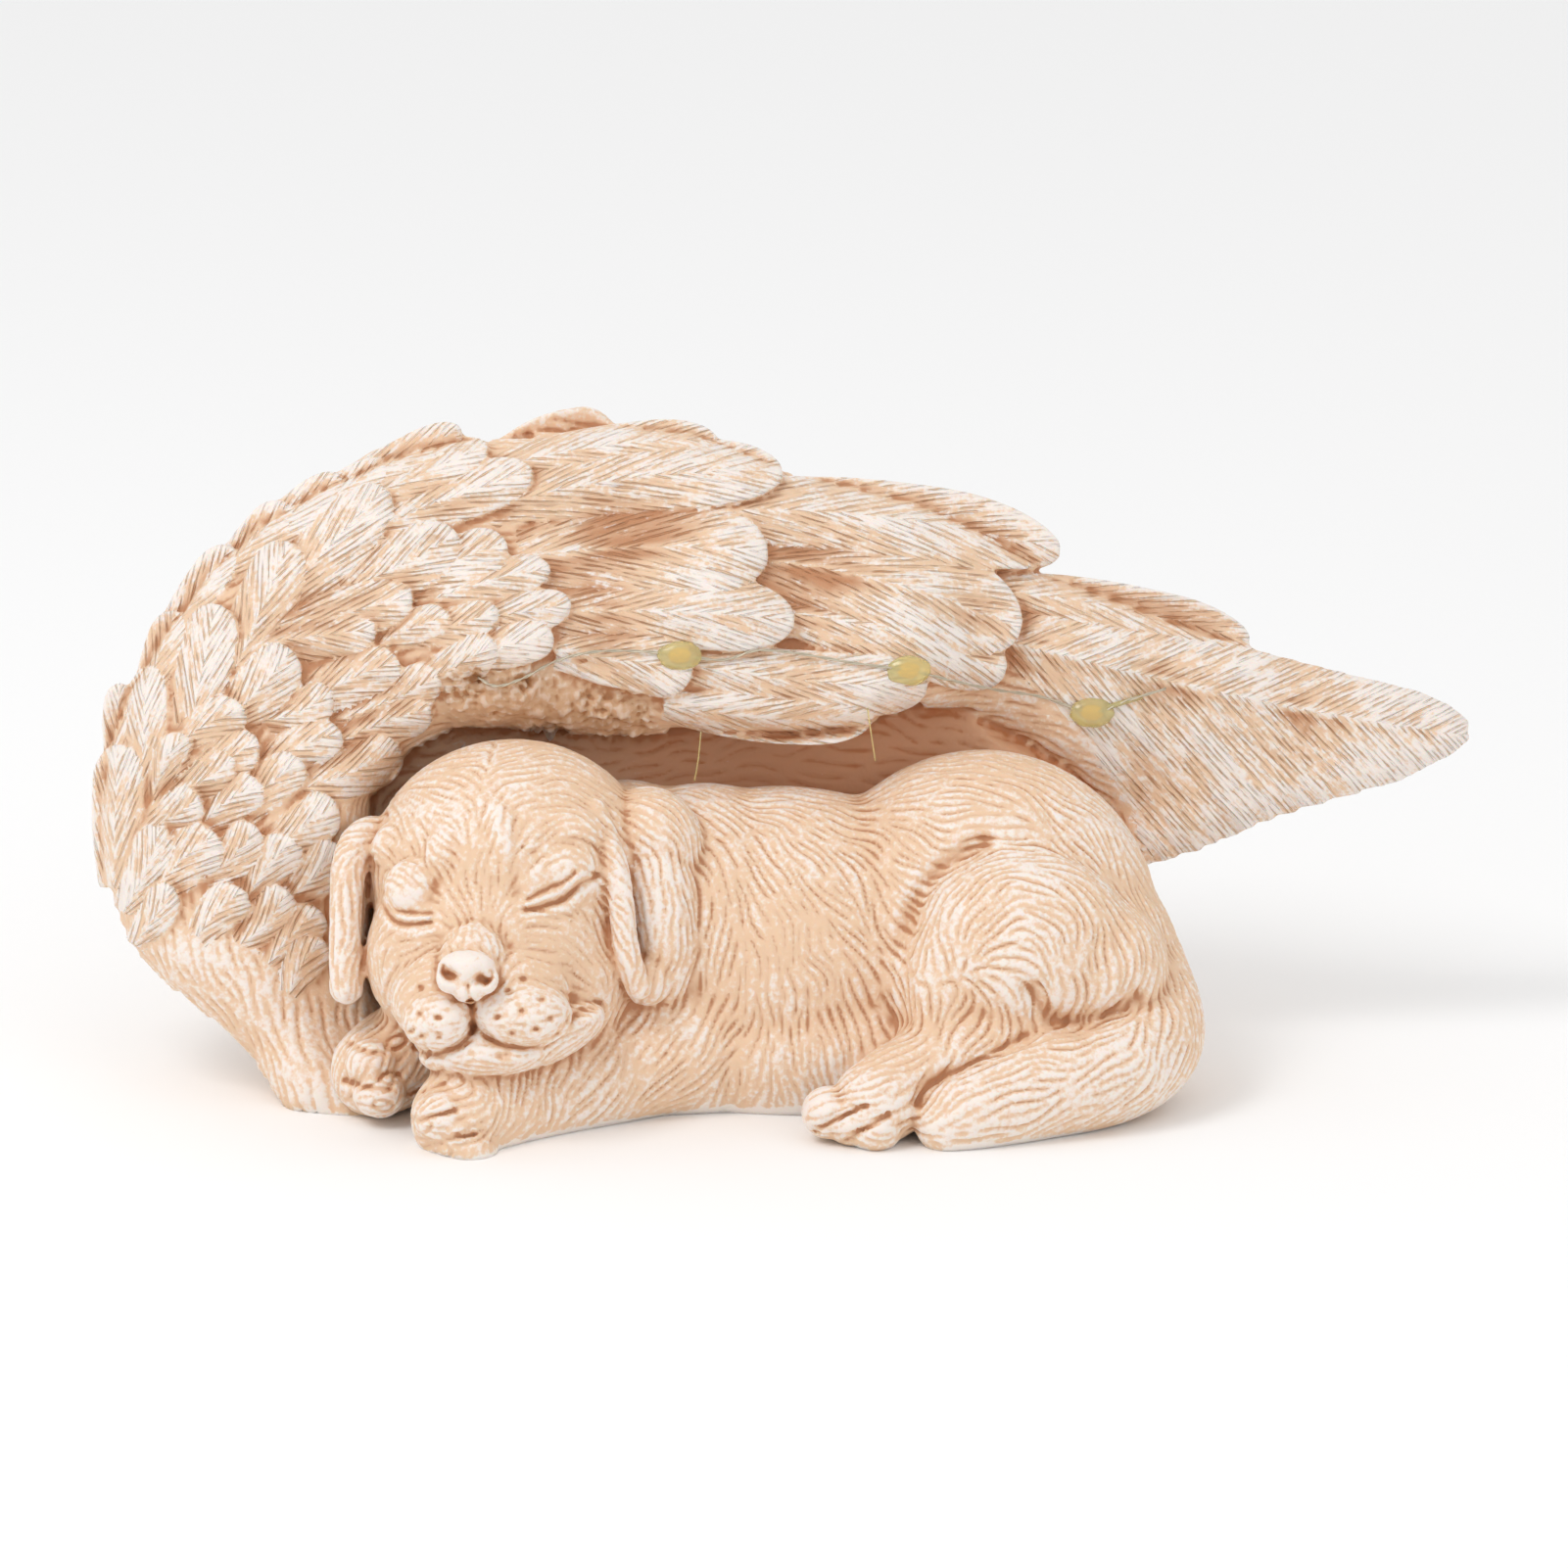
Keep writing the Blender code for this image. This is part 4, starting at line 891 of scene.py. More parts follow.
@dataclass(frozen=True)
class Wing:
    """The wing: a thick curved body, small feathers like scales, and long ones to the tip.

    The rim, canopy and wall are outlines of (across, up). The body's rows are a place, the depth
    of the wing's middle and half its thickness. Long feathers are root, tip, width, rise of the
    tip and bow, coverts are root, tip and width, and feather_way is the way in degrees that the
    back's coverts take near each place. Glue zones are ovals. Other sizes are in millimetres.
    """

    rim: tuple[Spot, ...] = (
        (-70, -6), (-75, -3.7), (-80.9, 5.3), (-87, 10.6), (-93.6, 15.8), (-99.2, 22), (-102.6, 31),
        (-103.2, 41), (-102, 51), (-98.6, 60), (-93, 69), (-86.5, 78), (-79, 85), (-70, 90.2),
        (-60, 95), (-50, 98), (-38, 99.6), (-26, 100.6), (-14, 99.2), (-4, 95.4), (8, 91.6),
        (20, 88.6), (31, 83.6), (40, 78), (50, 74), (62, 69.6), (76, 65.6), (88, 62.6), (97, 60.4),
        (101.4, 58.4), (104.6, 55.8), (104.8, 53.2), (102.5, 50.9), (94, 46.4), (84, 43.6), (74, 40.4),
        (64, 36.0), (54, 33),
    )
    canopy: tuple[Spot, ...] = (
        (50, 41), (44, 48), (36, 53), (27, 57.5), (20, 57.8), (12, 54.6), (0, 53.6), (-14, 54),
        (-27, 53), (-40, 54.6), (-50, 54), (-57, 50), (-62, 43), (-62, 34), (-60, 20), (-57, 8),
        (-55, -6),
    )
    wall: tuple[Spot, ...] = ((36, 26), (16, 18), (-6, 8), (-30, 0), (-52, -6))
    body: tuple[tuple[Spot, float, float], ...] = (
        ((-70, -3), -6, 9), ((-86, 14), -2, 11), ((-99, 40), 3, 12), ((-84, 56), 1, 15),
        ((-70, 42), -4, 13), ((-66, 78), 5, 14), ((-45, 95), 10, 13), ((-45, 66), 3, 18),
        ((-20, 94), 12, 12), ((-14, 66), 6, 17), ((10, 86), 11, 11), ((14, 62), 8, 16),
        ((38, 76), 11, 7), ((44, 56), 11, 9), ((64, 60), 12, 5), ((60, 42), 14, 6),
        ((84, 55), 14, 4), ((103, 55), 15, 3), ((-50, 12), 16, 9), ((0, 22), 19, 8),
        ((34, 32), 18, 6), ((-61, 30), 4, 11), ((-58, 8), 1, 9), ((-57, 48), 4, 13),
    )
    long_feathers: tuple[tuple[Spot, Spot, float, float, float], ...] = (
        ((-44, 94), (-10.2, 98.6), 7.0, 2.6, 1.0),
        ((-44, 88), (-0.2, 93.6), 10.5, 3.4, 1.6),
        ((-26, 86), (42.0, 81.6), 11.5, 3.0, 3.4),
        ((-40, 80), (-2.4, 81.0), 13.6, 2.4, 1.4),
        ((-36, 72), (1.6, 70.8), 11.0, 2.2, 0.6),
        ((-6, 80), (35.9, 69.6), 14.5, 2.6, 2.0),
        ((0, 72), (33.6, 63.2), 11.0, 1.8, 1.2),
        ((-34, 66), (-13.8, 62.6), 9.0, 2.0, 0.4),
        ((-14, 64), (21.6, 60.6), 9.2, 2.2, -0.6),
        ((-18, 58), (13.4, 56.0), 7.4, 1.8, -1.0),
        ((24, 76), (71, 68.0), 8.0, 0.6, 1.4),
        ((28, 69.5), (104.8, 53.4), 16.0, 1.6, -1.4),
    )
    coverts: tuple[tuple[Spot, Spot, float], ...] = (
        ((-100.9, 36.0), (-100.2, 52.1), 8.4), ((-100.9, 51.5), (-100.3, 61.4), 4.8),
        ((-96.3, 49.3), (-95.7, 63.9), 6.8), ((-95.7, 60.3), (-91.9, 72.3), 6.0),
        ((-88.0, 58.8), (-85.3, 73.2), 8.6), ((-91.7, 69.9), (-83.6, 82.1), 6.4),
        ((-80.2, 68.4), (-74.3, 82.5), 9.0), ((-82.5, 80.2), (-75.1, 88.4), 6.4),
        ((-82.5, 80.2), (-67.3, 92.9), 6.4), ((-72.0, 86.0), (-60.3, 95.0), 5.6),
        ((-67.7, 90.6), (-49.1, 100.2), 6.4), ((-75.1, 73.6), (-60.1, 90.7), 10.0),
        ((-62.5, 89.8), (-45.0, 97.6), 6.8), ((-57.4, 86.1), (-38.0, 93.5), 8.0),
        ((-64.7, 75.8), (-49.1, 83.6), 9.4), ((-52.9, 77.3), (-41.7, 82.5), 7.6),
        ((-73.6, 70.7), (-55.7, 74.3), 8.0), ((-76.6, 67.0), (-61.2, 69.3), 7.4),
        ((-81.7, 57.4), (-73.7, 66.2), 8.4), ((-58.8, 67.7), (-50.1, 71.4), 5.4),
        ((-53.7, 69.2), (-42.8, 72.1), 5.6), ((-47.8, 75.1), (-35.1, 78.6), 5.8),
        ((-44.1, 71.8), (-31.9, 73.2), 6.0), ((-45.6, 64.7), (-34.5, 68.4), 6.6),
        ((-52.9, 62.5), (-43.2, 67.3), 6.4), ((-69.9, 58.8), (-57.7, 64.7), 7.6),
        ((-63.3, 57.4), (-51.6, 62.5), 7.4), ((-64.7, 52.9), (-52.9, 57.4), 7.0),
        ((-68.4, 47.0), (-57.7, 51.5), 7.6), ((-75.1, 50.0), (-66.2, 53.7), 6.4),
        ((-75.1, 56.6), (-67.7, 59.6), 6.4), ((-88.7, 52.9), (-80.8, 57.4), 6.6),
        ((-88.7, 48.5), (-78.6, 52.6), 6.6), ((-93.5, 46.3), (-89.8, 53.7), 4.8),
        ((-90.6, 45.6), (-82.5, 49.6), 6.0), ((-85.4, 41.1), (-78.4, 46.3), 6.8),
        ((-95.0, 40.4), (-87.5, 44.1), 7.0), ((-78.8, 43.4), (-72.1, 49.6), 6.8),
        ((-75.1, 38.2), (-67.0, 43.4), 7.4), ((-92.8, 31.5), (-85.0, 38.6), 8.6),
        ((-85.0, 33.8), (-78.8, 39.7), 6.6), ((-78.8, 30.8), (-73.2, 37.8), 7.0),
        ((-72.9, 30.8), (-66.2, 36.7), 6.6), ((-86.1, 24.9), (-80.8, 30.1), 6.6),
        ((-79.5, 24.2), (-74.3, 30.1), 6.6), ((-75.1, 21.2), (-69.5, 27.1), 6.6),
        ((-98.0, 30.1), (-93.5, 39.7), 6.6), ((-72.9, 16.8), (-69.2, 22.7), 6.0),
        ((-96.5, 24.2), (-92.0, 31.0), 5.6),
    )
    feather_way: tuple[tuple[Spot, float], ...] = (
        ((-78, 6), 112), ((-98, 26), 104), ((-102, 45), 88), ((-96, 64), 64), ((-84, 80), 50),
        ((-66, 92), 30), ((-48, 98), 14), ((-84, 26), 88), ((-72, 22), 74), ((-84, 46), 62),
        ((-72, 42), 42), ((-76, 62), 46), ((-62, 56), 22), ((-64, 72), 34), ((-48, 62), 10),
        ((-48, 76), 20), ((-36, 58), 4), ((-36, 92), 8),
    )
    blend_reach: float = 9.0
    wall_thickness: float = 14.0
    lip_reach: float = 5.0
    lip_depth: float = 9.0
    lip_spread: float = 0.45
    lip_spread_from: float = 14.0
    long_rise: float = 1.3
    covert_rise: float = 2.6
    covert_stretch: float = 1.35
    covert_bed: float = 1.5
    covert_end: float = -38.0
    covert_bow: float = 0.7
    covert_change: float = 3.1
    back_step: float = 10.8
    back_row: float = 11.1
    back_length: float = 19.6
    back_width: float = 12.4
    back_rise: float = 3.0
    back_room: float = 4.0
    back_tip_room: float = 2.0
    back_shares: tuple[float, ...] = (1.0, 0.7, 0.5)
    back_end: tuple[Spot, Spot] = ((-60.0, 0.0), (-34.0, 70.0))
    tip_vane: float = 42.0
    tip_vane_fold: float = 12.0
    feather_thickness: float = 2.4
    sink: float = 0.6
    crown: float = 0.9
    quill_rise: float = 0.45
    quill_width: float = 0.5
    wire_hole: Spot = (-46.0, 62.2)
    hole_radius: float = 1.2
    hole_depth: float = 2.6
    carved_depth: float = 20.0
    body_cell: float = 1.0
    speck: Spot = (-52.3, 83.3)
    speck_darkness: float = 1.6
    speck_area: float = 0.35
    crust_height: float = 2.0
    crust_least: float = 0.05
    brush_crust: float = 0.3
    brush_low: float = -4.0
    glue_zones: tuple[tuple[float, float, float, float], ...] = (
        (-43.0, 59.5, 8.5, 4.4), (-33.5, 57.6, 6.0, 4.0), (-24.0, 56.4, 4.6, 4.0),
    )
    brush: Strokes = Strokes(
        combs=(
            (-78, 6, 112), (-98, 26, 104), (-84, 14, 108), (-74, 14, 100), (-66, 20, 80),
            (-66, 44, 40), (-60, 56, 20), (-48, 62, 8), (-36, 58, 4), (-10, 56, 0), (-10, 50, 4),
            (14, 56, -4), (14, 50, -4), (30, 52, -16), (44, 46, -34), (50, 40, -44), (36, 84, -14),
            (60, 68, -16), (-20, 98, 4),
        ),
        apart=1.5,
        longest=9.0,
        half_width=0.42,
        press=0.4,
        sway=40.0,
    )

    def blended(self, table: Sequence[tuple], across: np.ndarray, up: np.ndarray, column: int) -> np.ndarray:
        """A column of a table of places, blended smoothly between the places nearby.

        Args:
            table: Rows that start with a place (across, up).
            across: The first coordinate of the places asked for.
            up: Their second.
            column: Which column is blended.

        Returns:
            One value for each place.
        """
        total = np.zeros(np.shape(across))
        weight = np.full(np.shape(across), 1e-9)
        for row in table:
            square = (across - row[0][0]) ** 2 + (up - row[0][1]) ** 2
            share = 1.0 / (square + self.blend_reach**2) ** 2
            total += share * row[column]
            weight += share
        return total / weight

    def rim_distance(self, across: np.ndarray, up: np.ndarray) -> np.ndarray:
        """How far places lie inside the wing's rim: below zero outside it."""
        best = line_distance(self.rim, across, up)
        return np.where(inside(self.rim + self.wall, across, up), best, -best)

    def faces(self, across: np.ndarray, up: np.ndarray) -> tuple[np.ndarray, np.ndarray]:
        """Depths of the wing's front and back, which meet in a round rim.

        Args:
            across: The places' first coordinate.
            up: Their second.

        Returns:
            The depth of the front and that of the back at each place.
        """
        middle = self.blended(self.body, across, up, 1)
        half = self.blended(self.body, across, up, 2)
        share = np.clip(self.rim_distance(across, up) / half, 0, 1)
        swell = half * np.sqrt(1 - (1 - share) ** 2)
        reach = self.lip_reach + self.lip_spread * np.maximum(0, across - self.lip_spread_from)
        past_lip = 1 - np.clip(line_distance(self.canopy, across, up) / reach, 0, 1)
        lip = self.lip_depth * (1 - np.sqrt(1 - past_lip**2))
        return middle - swell + lip, middle + swell

    def patch(self, columns: int, rows: int, plan: Callable[..., Plan]) -> bpy.types.Object:
        """A closed patch of the wing with a front and a back.

        Args:
            columns: Faces along it.
            rows: Faces over it.
            plan: Maps two arrays from 0 to 1 to across, up, front, back and whether it is kept.

        Returns:
            The patch as an object.
        """
        shape = bmesh.new()
        deep = shape.verts.layers.float_vector.new("deep")
        verts = bmesh.ops.create_grid(shape, x_segments=columns, y_segments=rows, size=0.5)["verts"]
        flat = np.array([vertex.co[:2] for vertex in verts]) + 0.5
        lost = []
        for vertex, a, u, near, far, kept in zip(verts, *plan(flat[:, 0], flat[:, 1])):
            vertex.co = PLANE.point(a, u, near)
            vertex[deep] = PLANE.point(a, u, far)
            if not kept:
                lost.append(vertex)
        bmesh.ops.delete(shape, geom=lost, context="VERTS")
        made = bmesh.ops.extrude_face_region(shape, geom=shape.faces[:], use_keep_orig=True)
        for item in made["geom"]:
            if isinstance(item, bmesh.types.BMVert):
                item.co = item[deep]
        bmesh.ops.recalc_face_normals(shape, faces=shape.faces[:])
        return mesh_piece("wing_patch", shape)

    def lift(self, feather: Feather, share: np.ndarray, offset: np.ndarray) -> np.ndarray:
        """How far a feather's face stands off the wing, in millimetres.

        Args:
            feather: The feather.
            share: Shares of the way along it.
            offset: Places across it, from -1 to 1.

        Returns:
            The height at each place, with the tip's vane folded back behind the puppy.
        """
        crown = self.crown * (1 - offset**2) * min(1, feather.width / 8)
        lift = feather.rise * share**0.8 + crown
        if feather.vane and feather.side is Side.FRONT:
            lift = lift - self.tip_vane_fold * (1 - share) ** 2 * np.clip(-offset, 0, 1)
        return lift

    def slab(self, outline: Sequence[Spot], thickness: float, cell: float) -> bpy.types.Object:
        """A piece of the wing's body.

        Args:
            outline: What it lies inside.
            thickness: How thick it may be at most.
            cell: The size of its faces.

        Returns:
            The piece.
        """
        low, high = np.min(outline, axis=0), np.max(outline, axis=0)
        columns, rows = (int((b - a) / cell) + 1 for a, b in zip(low, high))

        def plan(along: np.ndarray, over: np.ndarray) -> Plan:
            """Lays the piece out between the wing's faces."""
            across = low[0] + along * (high[0] - low[0])
            up = low[1] + over * (high[1] - low[1])
            front, back = self.faces(across, up)
            bed = self.covert_bed / (1 + np.exp((across - self.covert_end) / 2))
            front = np.maximum(front + self.sink - bed, back - thickness)
            back = np.maximum(back - self.sink, front + 1)
            return across, up, front, back, inside(outline, across, up)

        return self.patch(columns, rows, plan)

    def blade(self, feather: Feather, cell: float) -> bpy.types.Object:
        """The body of one feather, with faces of about the given size."""
        side = feather.side.value
        dx, dy = feather.heading

        def plan(along: np.ndarray, over: np.ndarray) -> Plan:
            """Lays the feather out on the wing's face."""
            offset = 2 * over - 1
            half = feather.half_width(along, offset < 0)
            sideways = offset * half + feather.bend * 4 * along * (1 - along)
            across = feather.root[0] + dx * feather.length * along - dy * sideways
            up = feather.root[1] + dy * feather.length * along + dx * sideways
            front, back = self.faces(across, up)
            face = back if side > 0 else front
            quill = self.quill_rise * np.exp(-((offset * half / self.quill_width) ** 2)) * (1 - along**4)
            outer = face + side * (self.lift(feather, along, offset) + quill)
            within = self.rim_distance(across, up)
            thin = outer - side * self.feather_thickness
            inner = np.where(within > self.sink, face - side * 2 * self.sink, thin)
            inner = side * np.minimum(side * inner, side * outer - self.feather_thickness)
            near, far = (inner, outer) if side > 0 else (outer, inner)
            return across, up, near, far, (within > 0) | (not feather.vane)

        columns = max(8, int(feather.length / cell))
        rows = max(8, int(max(feather.width, feather.vane) / cell))
        return self.patch(columns, rows, plan)

    def back_coverts(self) -> Iterator[tuple[Spot, Spot, float]]:
        """The small feathers of the back: root, tip and width, staggered row by row."""
        (low_end, low), (high_end, high) = self.back_end
        rim_low, rim_high = np.min(self.rim, axis=0), np.max(self.rim, axis=0)
        for row in range(2, int((rim_high[1] - rim_low[1]) / self.back_row) + 1):
            up = rim_low[1] + row * self.back_row
            end = low_end + (high_end - low_end) * min(1.0, (up - low) / (high - low))
            for across in np.arange(rim_low[0] + (row % 2) * self.back_step / 2, end, self.back_step):
                spot = np.array([across]), np.array([up])
                on_wing = inside(self.rim + self.canopy, *spot)[0]
                if on_wing and self.rim_distance(*spot)[0] > self.back_room:
                    way = math.radians(float(self.blended(self.feather_way, *spot, 1)[0]))
                    for share in self.back_shares:
                        reach = self.back_length * share
                        tip = (across + math.cos(way) * reach, up + math.sin(way) * reach)
                        if self.rim_distance(*np.array([tip]).T)[0] > self.back_tip_room:
                            yield (across, up), tip, self.back_width
                            break

    def front_coverts(self) -> Iterator[tuple[Spot, Spot, float]]:
        """The small feathers of the front, drawn out at their roots so that they overlap."""
        for root, tip, width in self.coverts:
            drawn = tuple(t - self.covert_stretch * (t - r) for r, t in zip(root, tip))
            yield drawn, tip, width

    def feathers(self) -> list[Feather]:
        """Every feather, front and back."""
        made = []
        sides = (
            (self.front_coverts(), self.covert_rise, Side.FRONT),
            (self.back_coverts(), self.back_rise, Side.BACK),
        )
        for coverts, rise, side in sides:
            for number, (root, tip, width) in enumerate(coverts):
                bow = self.covert_bow * math.sin(self.covert_change * number)
                made.append(Feather(root, tip, width, rise, bow, side))
            for root, tip, width, rise_here, bend in self.long_feathers:
                vane = self.tip_vane if tip == self.long_feathers[-1][1] else 0.0
                made.append(Feather(root, tip, width, rise_here * self.long_rise, bend, side, vane))
        return made

    def modelled(self, grain: float) -> bpy.types.Object:
        """Models the wing with its feathers, and carves the wire's hole.

        Args:
            grain: The size of the skin's faces, in millimetres.

        Returns:
            The wing, uncut at the table.
        """
        parts = [
            self.slab(self.rim + self.wall, self.wall_thickness, self.body_cell),
            self.slab(self.rim + self.canopy, math.inf, self.body_cell),
        ]
        parts += [self.blade(feather, 1.5 * grain) for feather in self.feathers()]
        wing = melted("wing", parts, grain, 2)
        hole = ((self.wire_hole, self.wire_hole), self.hole_radius, self.hole_depth)
        Skin(wing).carve((hole,), self.carved_depth)
        return wing

    def crusted(self, skin: Skin) -> np.ndarray:
        """Where glue stained and roughened the cast round the wire's hole, from 0 to 1."""
        across, up, _ = skin.layout.T
        stain = np.zeros(len(across))
        for zone in self.glue_zones:
            stain += np.exp(-oval(across, up, zone, 4))
        return np.clip(stain, 0, 1) * (PLANE.facing(skin.normals) > 0)

    def stained(self, skin: Skin) -> np.ndarray:
        """How brown each vertex is from the glue or from the dark speck."""
        off = ((skin.layout[:, :2] - np.array(self.speck)) ** 2).sum(axis=1)
        return np.maximum(self.crusted(skin), self.speck_darkness * np.exp(-off / self.speck_area))

    def brushed(self, wing: bpy.types.Object) -> None:
        """Carves brush marks where no feather lies, and crusts the glued place."""
        skin = Skin(wing)
        crust = self.crusted(skin)
        bare = FeatherFinder(self).owners(skin.layout, skin.normals) < 0
        up = skin.layout[:, 1]
        length = np.where(bare & (crust < self.brush_crust) & (up > self.brush_low), 1.0, 0.0)
        self.brush.cut(skin, length, np.ones(len(length)))
        for number in np.flatnonzero(crust > self.crust_least):
            place = Vector(skin.places[number]) / PLANE.millimetre
            rough = max(0.25, 0.6 + noise.noise(place * 0.16 + Vector((3, 1, 7))))
            bump = rough * (noise.noise(place * 0.5) + 0.7 * noise.noise(place * 1.2))
            push = crust[number] * bump * self.crust_height * PLANE.millimetre
            skin.places[number] += skin.normals[number] * push
        skin.write()


@dataclass(frozen=True)
class FeatherFinder:
    """Tells which feather each place of the wing's skin lies on.

    Attributes:
        wing: The wing.
        near: How far off a feather's face a place may lie and still be on it, in millimetres.
        turned: How far a place may be turned from its side and still be on a feather of it.
        map_unit: Millimetres to one unit of the barbs' map.
        side_gap: How far the map moves each side of a quill apart, so that they don't match.
        feather_gap: How far the map moves one feather from the next.
    """

    wing: Wing
    near: float = 1.1
    turned: float = -0.2
    map_unit: float = 10.0
    side_gap: float = 3.7
    feather_gap: float = 17.3

    def owners(self, layout: np.ndarray, normals: np.ndarray) -> np.ndarray:
        """The number of the feather at each place, or -1 for none.

        Args:
            layout: Rows of across, up and depth.
            normals: The skin's normals there.

        Returns:
            One number for each row.
        """
        across, up, depth = layout.T
        facing = PLANE.facing(normals)
        front, back = self.wing.faces(across, up)
        best = np.full(len(layout), self.near)
        owner = np.full(len(layout), -1)
        for number, feather in enumerate(self.wing.feathers()):
            along, share, out = feather.shares(across, up)
            half = feather.half_width(share, out < 0)
            side = feather.side.value
            lift = self.wing.lift(feather, share, np.clip(out / half, -1, 1))
            off = np.abs(depth - (back if side > 0 else front) - side * lift)
            off[(along < 0) | (along > feather.length) | (np.abs(out) > half)] = 1e9
            off[facing * -side < self.turned] = 1e9
            closer = off < best
            best[closer] = off[closer]
            owner[closer] = number
        return owner

    def lay(self, piece: bpy.types.Object) -> None:
        """Writes the barbs' map, across and along them, and the feathers' edges on the finished wing."""
        mesh = piece.data
        middles, normals = (column(mesh.polygons, name, 3) for name in ("center", "normal"))
        owner = self.owners(PLANE.measured(middles), normals)
        corners = column(mesh.loops, "vertex_index", 1, int)
        sizes = column(mesh.polygons, "loop_total", 1, int)
        corner_owner = np.repeat(owner, sizes)
        across, up, _ = Skin(piece).layout[corners].T
        starts = np.concatenate(([0], np.cumsum(sizes)[:-1]))
        barbs = np.zeros((len(corners), 2))
        margin, vane = np.zeros(len(corners)), np.zeros(len(corners))
        for number, feather in enumerate(self.wing.feathers()):
            here = corner_owner == number
            if not here.any():
                continue
            along, share, out = feather.shares(across[here], up[here])
            faces = owner == number
            face_out = np.add.reduceat(feather.shares(across, up)[2], starts)[faces]
            sense = np.repeat(np.where(face_out < 0, -1.0, 1.0), sizes[faces])
            sine, cosine = math.sin(feather.barb_lean), math.cos(feather.barb_lean)
            barbs[here, 0] = (along * sine - out * sense * cosine) / self.map_unit
            barbs[here, 0] += sense * self.side_gap + number * self.feather_gap
            barbs[here, 1] = (along * cosine + out * sense * sine) / self.map_unit
            edge = np.clip(np.abs(out) / (feather.width / 2), 0, 1)
            margin[here] = np.clip(np.maximum(edge**3, share**3), 0, 1)
            vane[here] = 1
        layer = mesh.uv_layers.new(name="barbs")
        layer.data.foreach_set("uv", barbs.astype(np.float32).ravel())
        for name, values in (("margin", margin), ("vane", vane)):
            kept = mesh.attributes.new(name, "FLOAT", "CORNER")
            kept.data.foreach_set("value", values.astype(np.float32))


class Bench:
    """A short way to lay out a material's nodes."""

    def __init__(self, name: str) -> None:
        """Starts a material that holds only a Principled shader and its output."""
        self.material = bpy.data.materials.new(name)
        self.material.use_nodes = True
        self.tree = self.material.node_tree
        self.shader = self.tree.nodes["Principled BSDF"]

    def node(self, kind: str, settings: dict | None = None, **inputs: object) -> bpy.types.Node:
        """Adds a node.

        Args:
            kind: The node's type name.
            settings: Its own properties.
            inputs: A value or a linked socket for each input, with _ for a space in its name.

        Returns:
            The node.
        """
        made = self.tree.nodes.new(kind)
        for name, value in (settings or {}).items():
            setattr(made, name, value)
        for name, value in inputs.items():
            self.feed(made.inputs[name.replace("_", " ")], value)
        return made

    def feed(self, socket: Socket, value: object) -> None:
        """Gives an input its value, or links it to a socket."""
        if isinstance(value, Socket):
            self.tree.links.new(value, socket)
        else:
            socket.default_value = value

    def finish(self, **values: object) -> None:
        """Feeds the shader's inputs, with _ for a space in their names."""
        for name, value in values.items():
            self.feed(self.shader.inputs[name.replace("_", " ")], value)

    def maths(self, operation: str, *values: object) -> Socket:
        """The result of one sum."""
        made = self.node("ShaderNodeMath", {"operation": operation})
        for socket, value in zip(made.inputs, values):
            self.feed(socket, value)
        return made.outputs[0]

    def centred(self, value: Socket) -> Socket:
        """A value of about 0 to 1 brought to either side of 0."""
        return self.maths("SUBTRACT", value, 0.5)

    def bumped(self, height: Socket, strength: float, distance: float) -> Socket:
        """Normals that stand up with a height."""
        made = self.node("ShaderNodeBump", None, Height=height, Strength=strength, Distance=distance)
        return made.outputs[0]

    def stretched(self, value: object, low: float, high: float) -> Socket:
        """A value brought from low and high to 0 and 1 with soft ends."""
        settings = {"interpolation_type": "SMOOTHSTEP"}
        made = self.node("ShaderNodeMapRange", settings, Value=value, From_Min=low, From_Max=high)
        return made.outputs[0]

    def mixed(self, share: object, first: object, second: object) -> Socket:
        """A colour between two."""
        made = self.node("ShaderNodeMix", {"data_type": "RGBA"})
        for key, value in (("Factor", share), (6, first), (7, second)):
            self.feed(made.inputs[key], value)
        return made.outputs[2]

    def reading(self, name: str) -> Socket:
        """A number that was painted on the mesh."""
        return self.node("ShaderNodeAttribute", {"attribute_name": name}).outputs["Fac"]

    def grain(self, scale: float, detail: float, vector: Socket | None = None) -> Socket:
        """Noise in the object's own coordinates, or in others."""
        if vector is None:
            vector = self.node("ShaderNodeTexCoord").outputs["Object"]
        return self.node("ShaderNodeTexNoise", None, Vector=vector, Scale=scale, Detail=detail).outputs[0]


@dataclass(frozen=True)
class Cue:
    """How much a value adds to the white paint, to the painted shade of creases and hollows, and to the
    relief.
    """

    white: float = 0.0
    # dark: painted shade in creases and hollows.
    dark: float = 0.0
    relief: float = 0.0


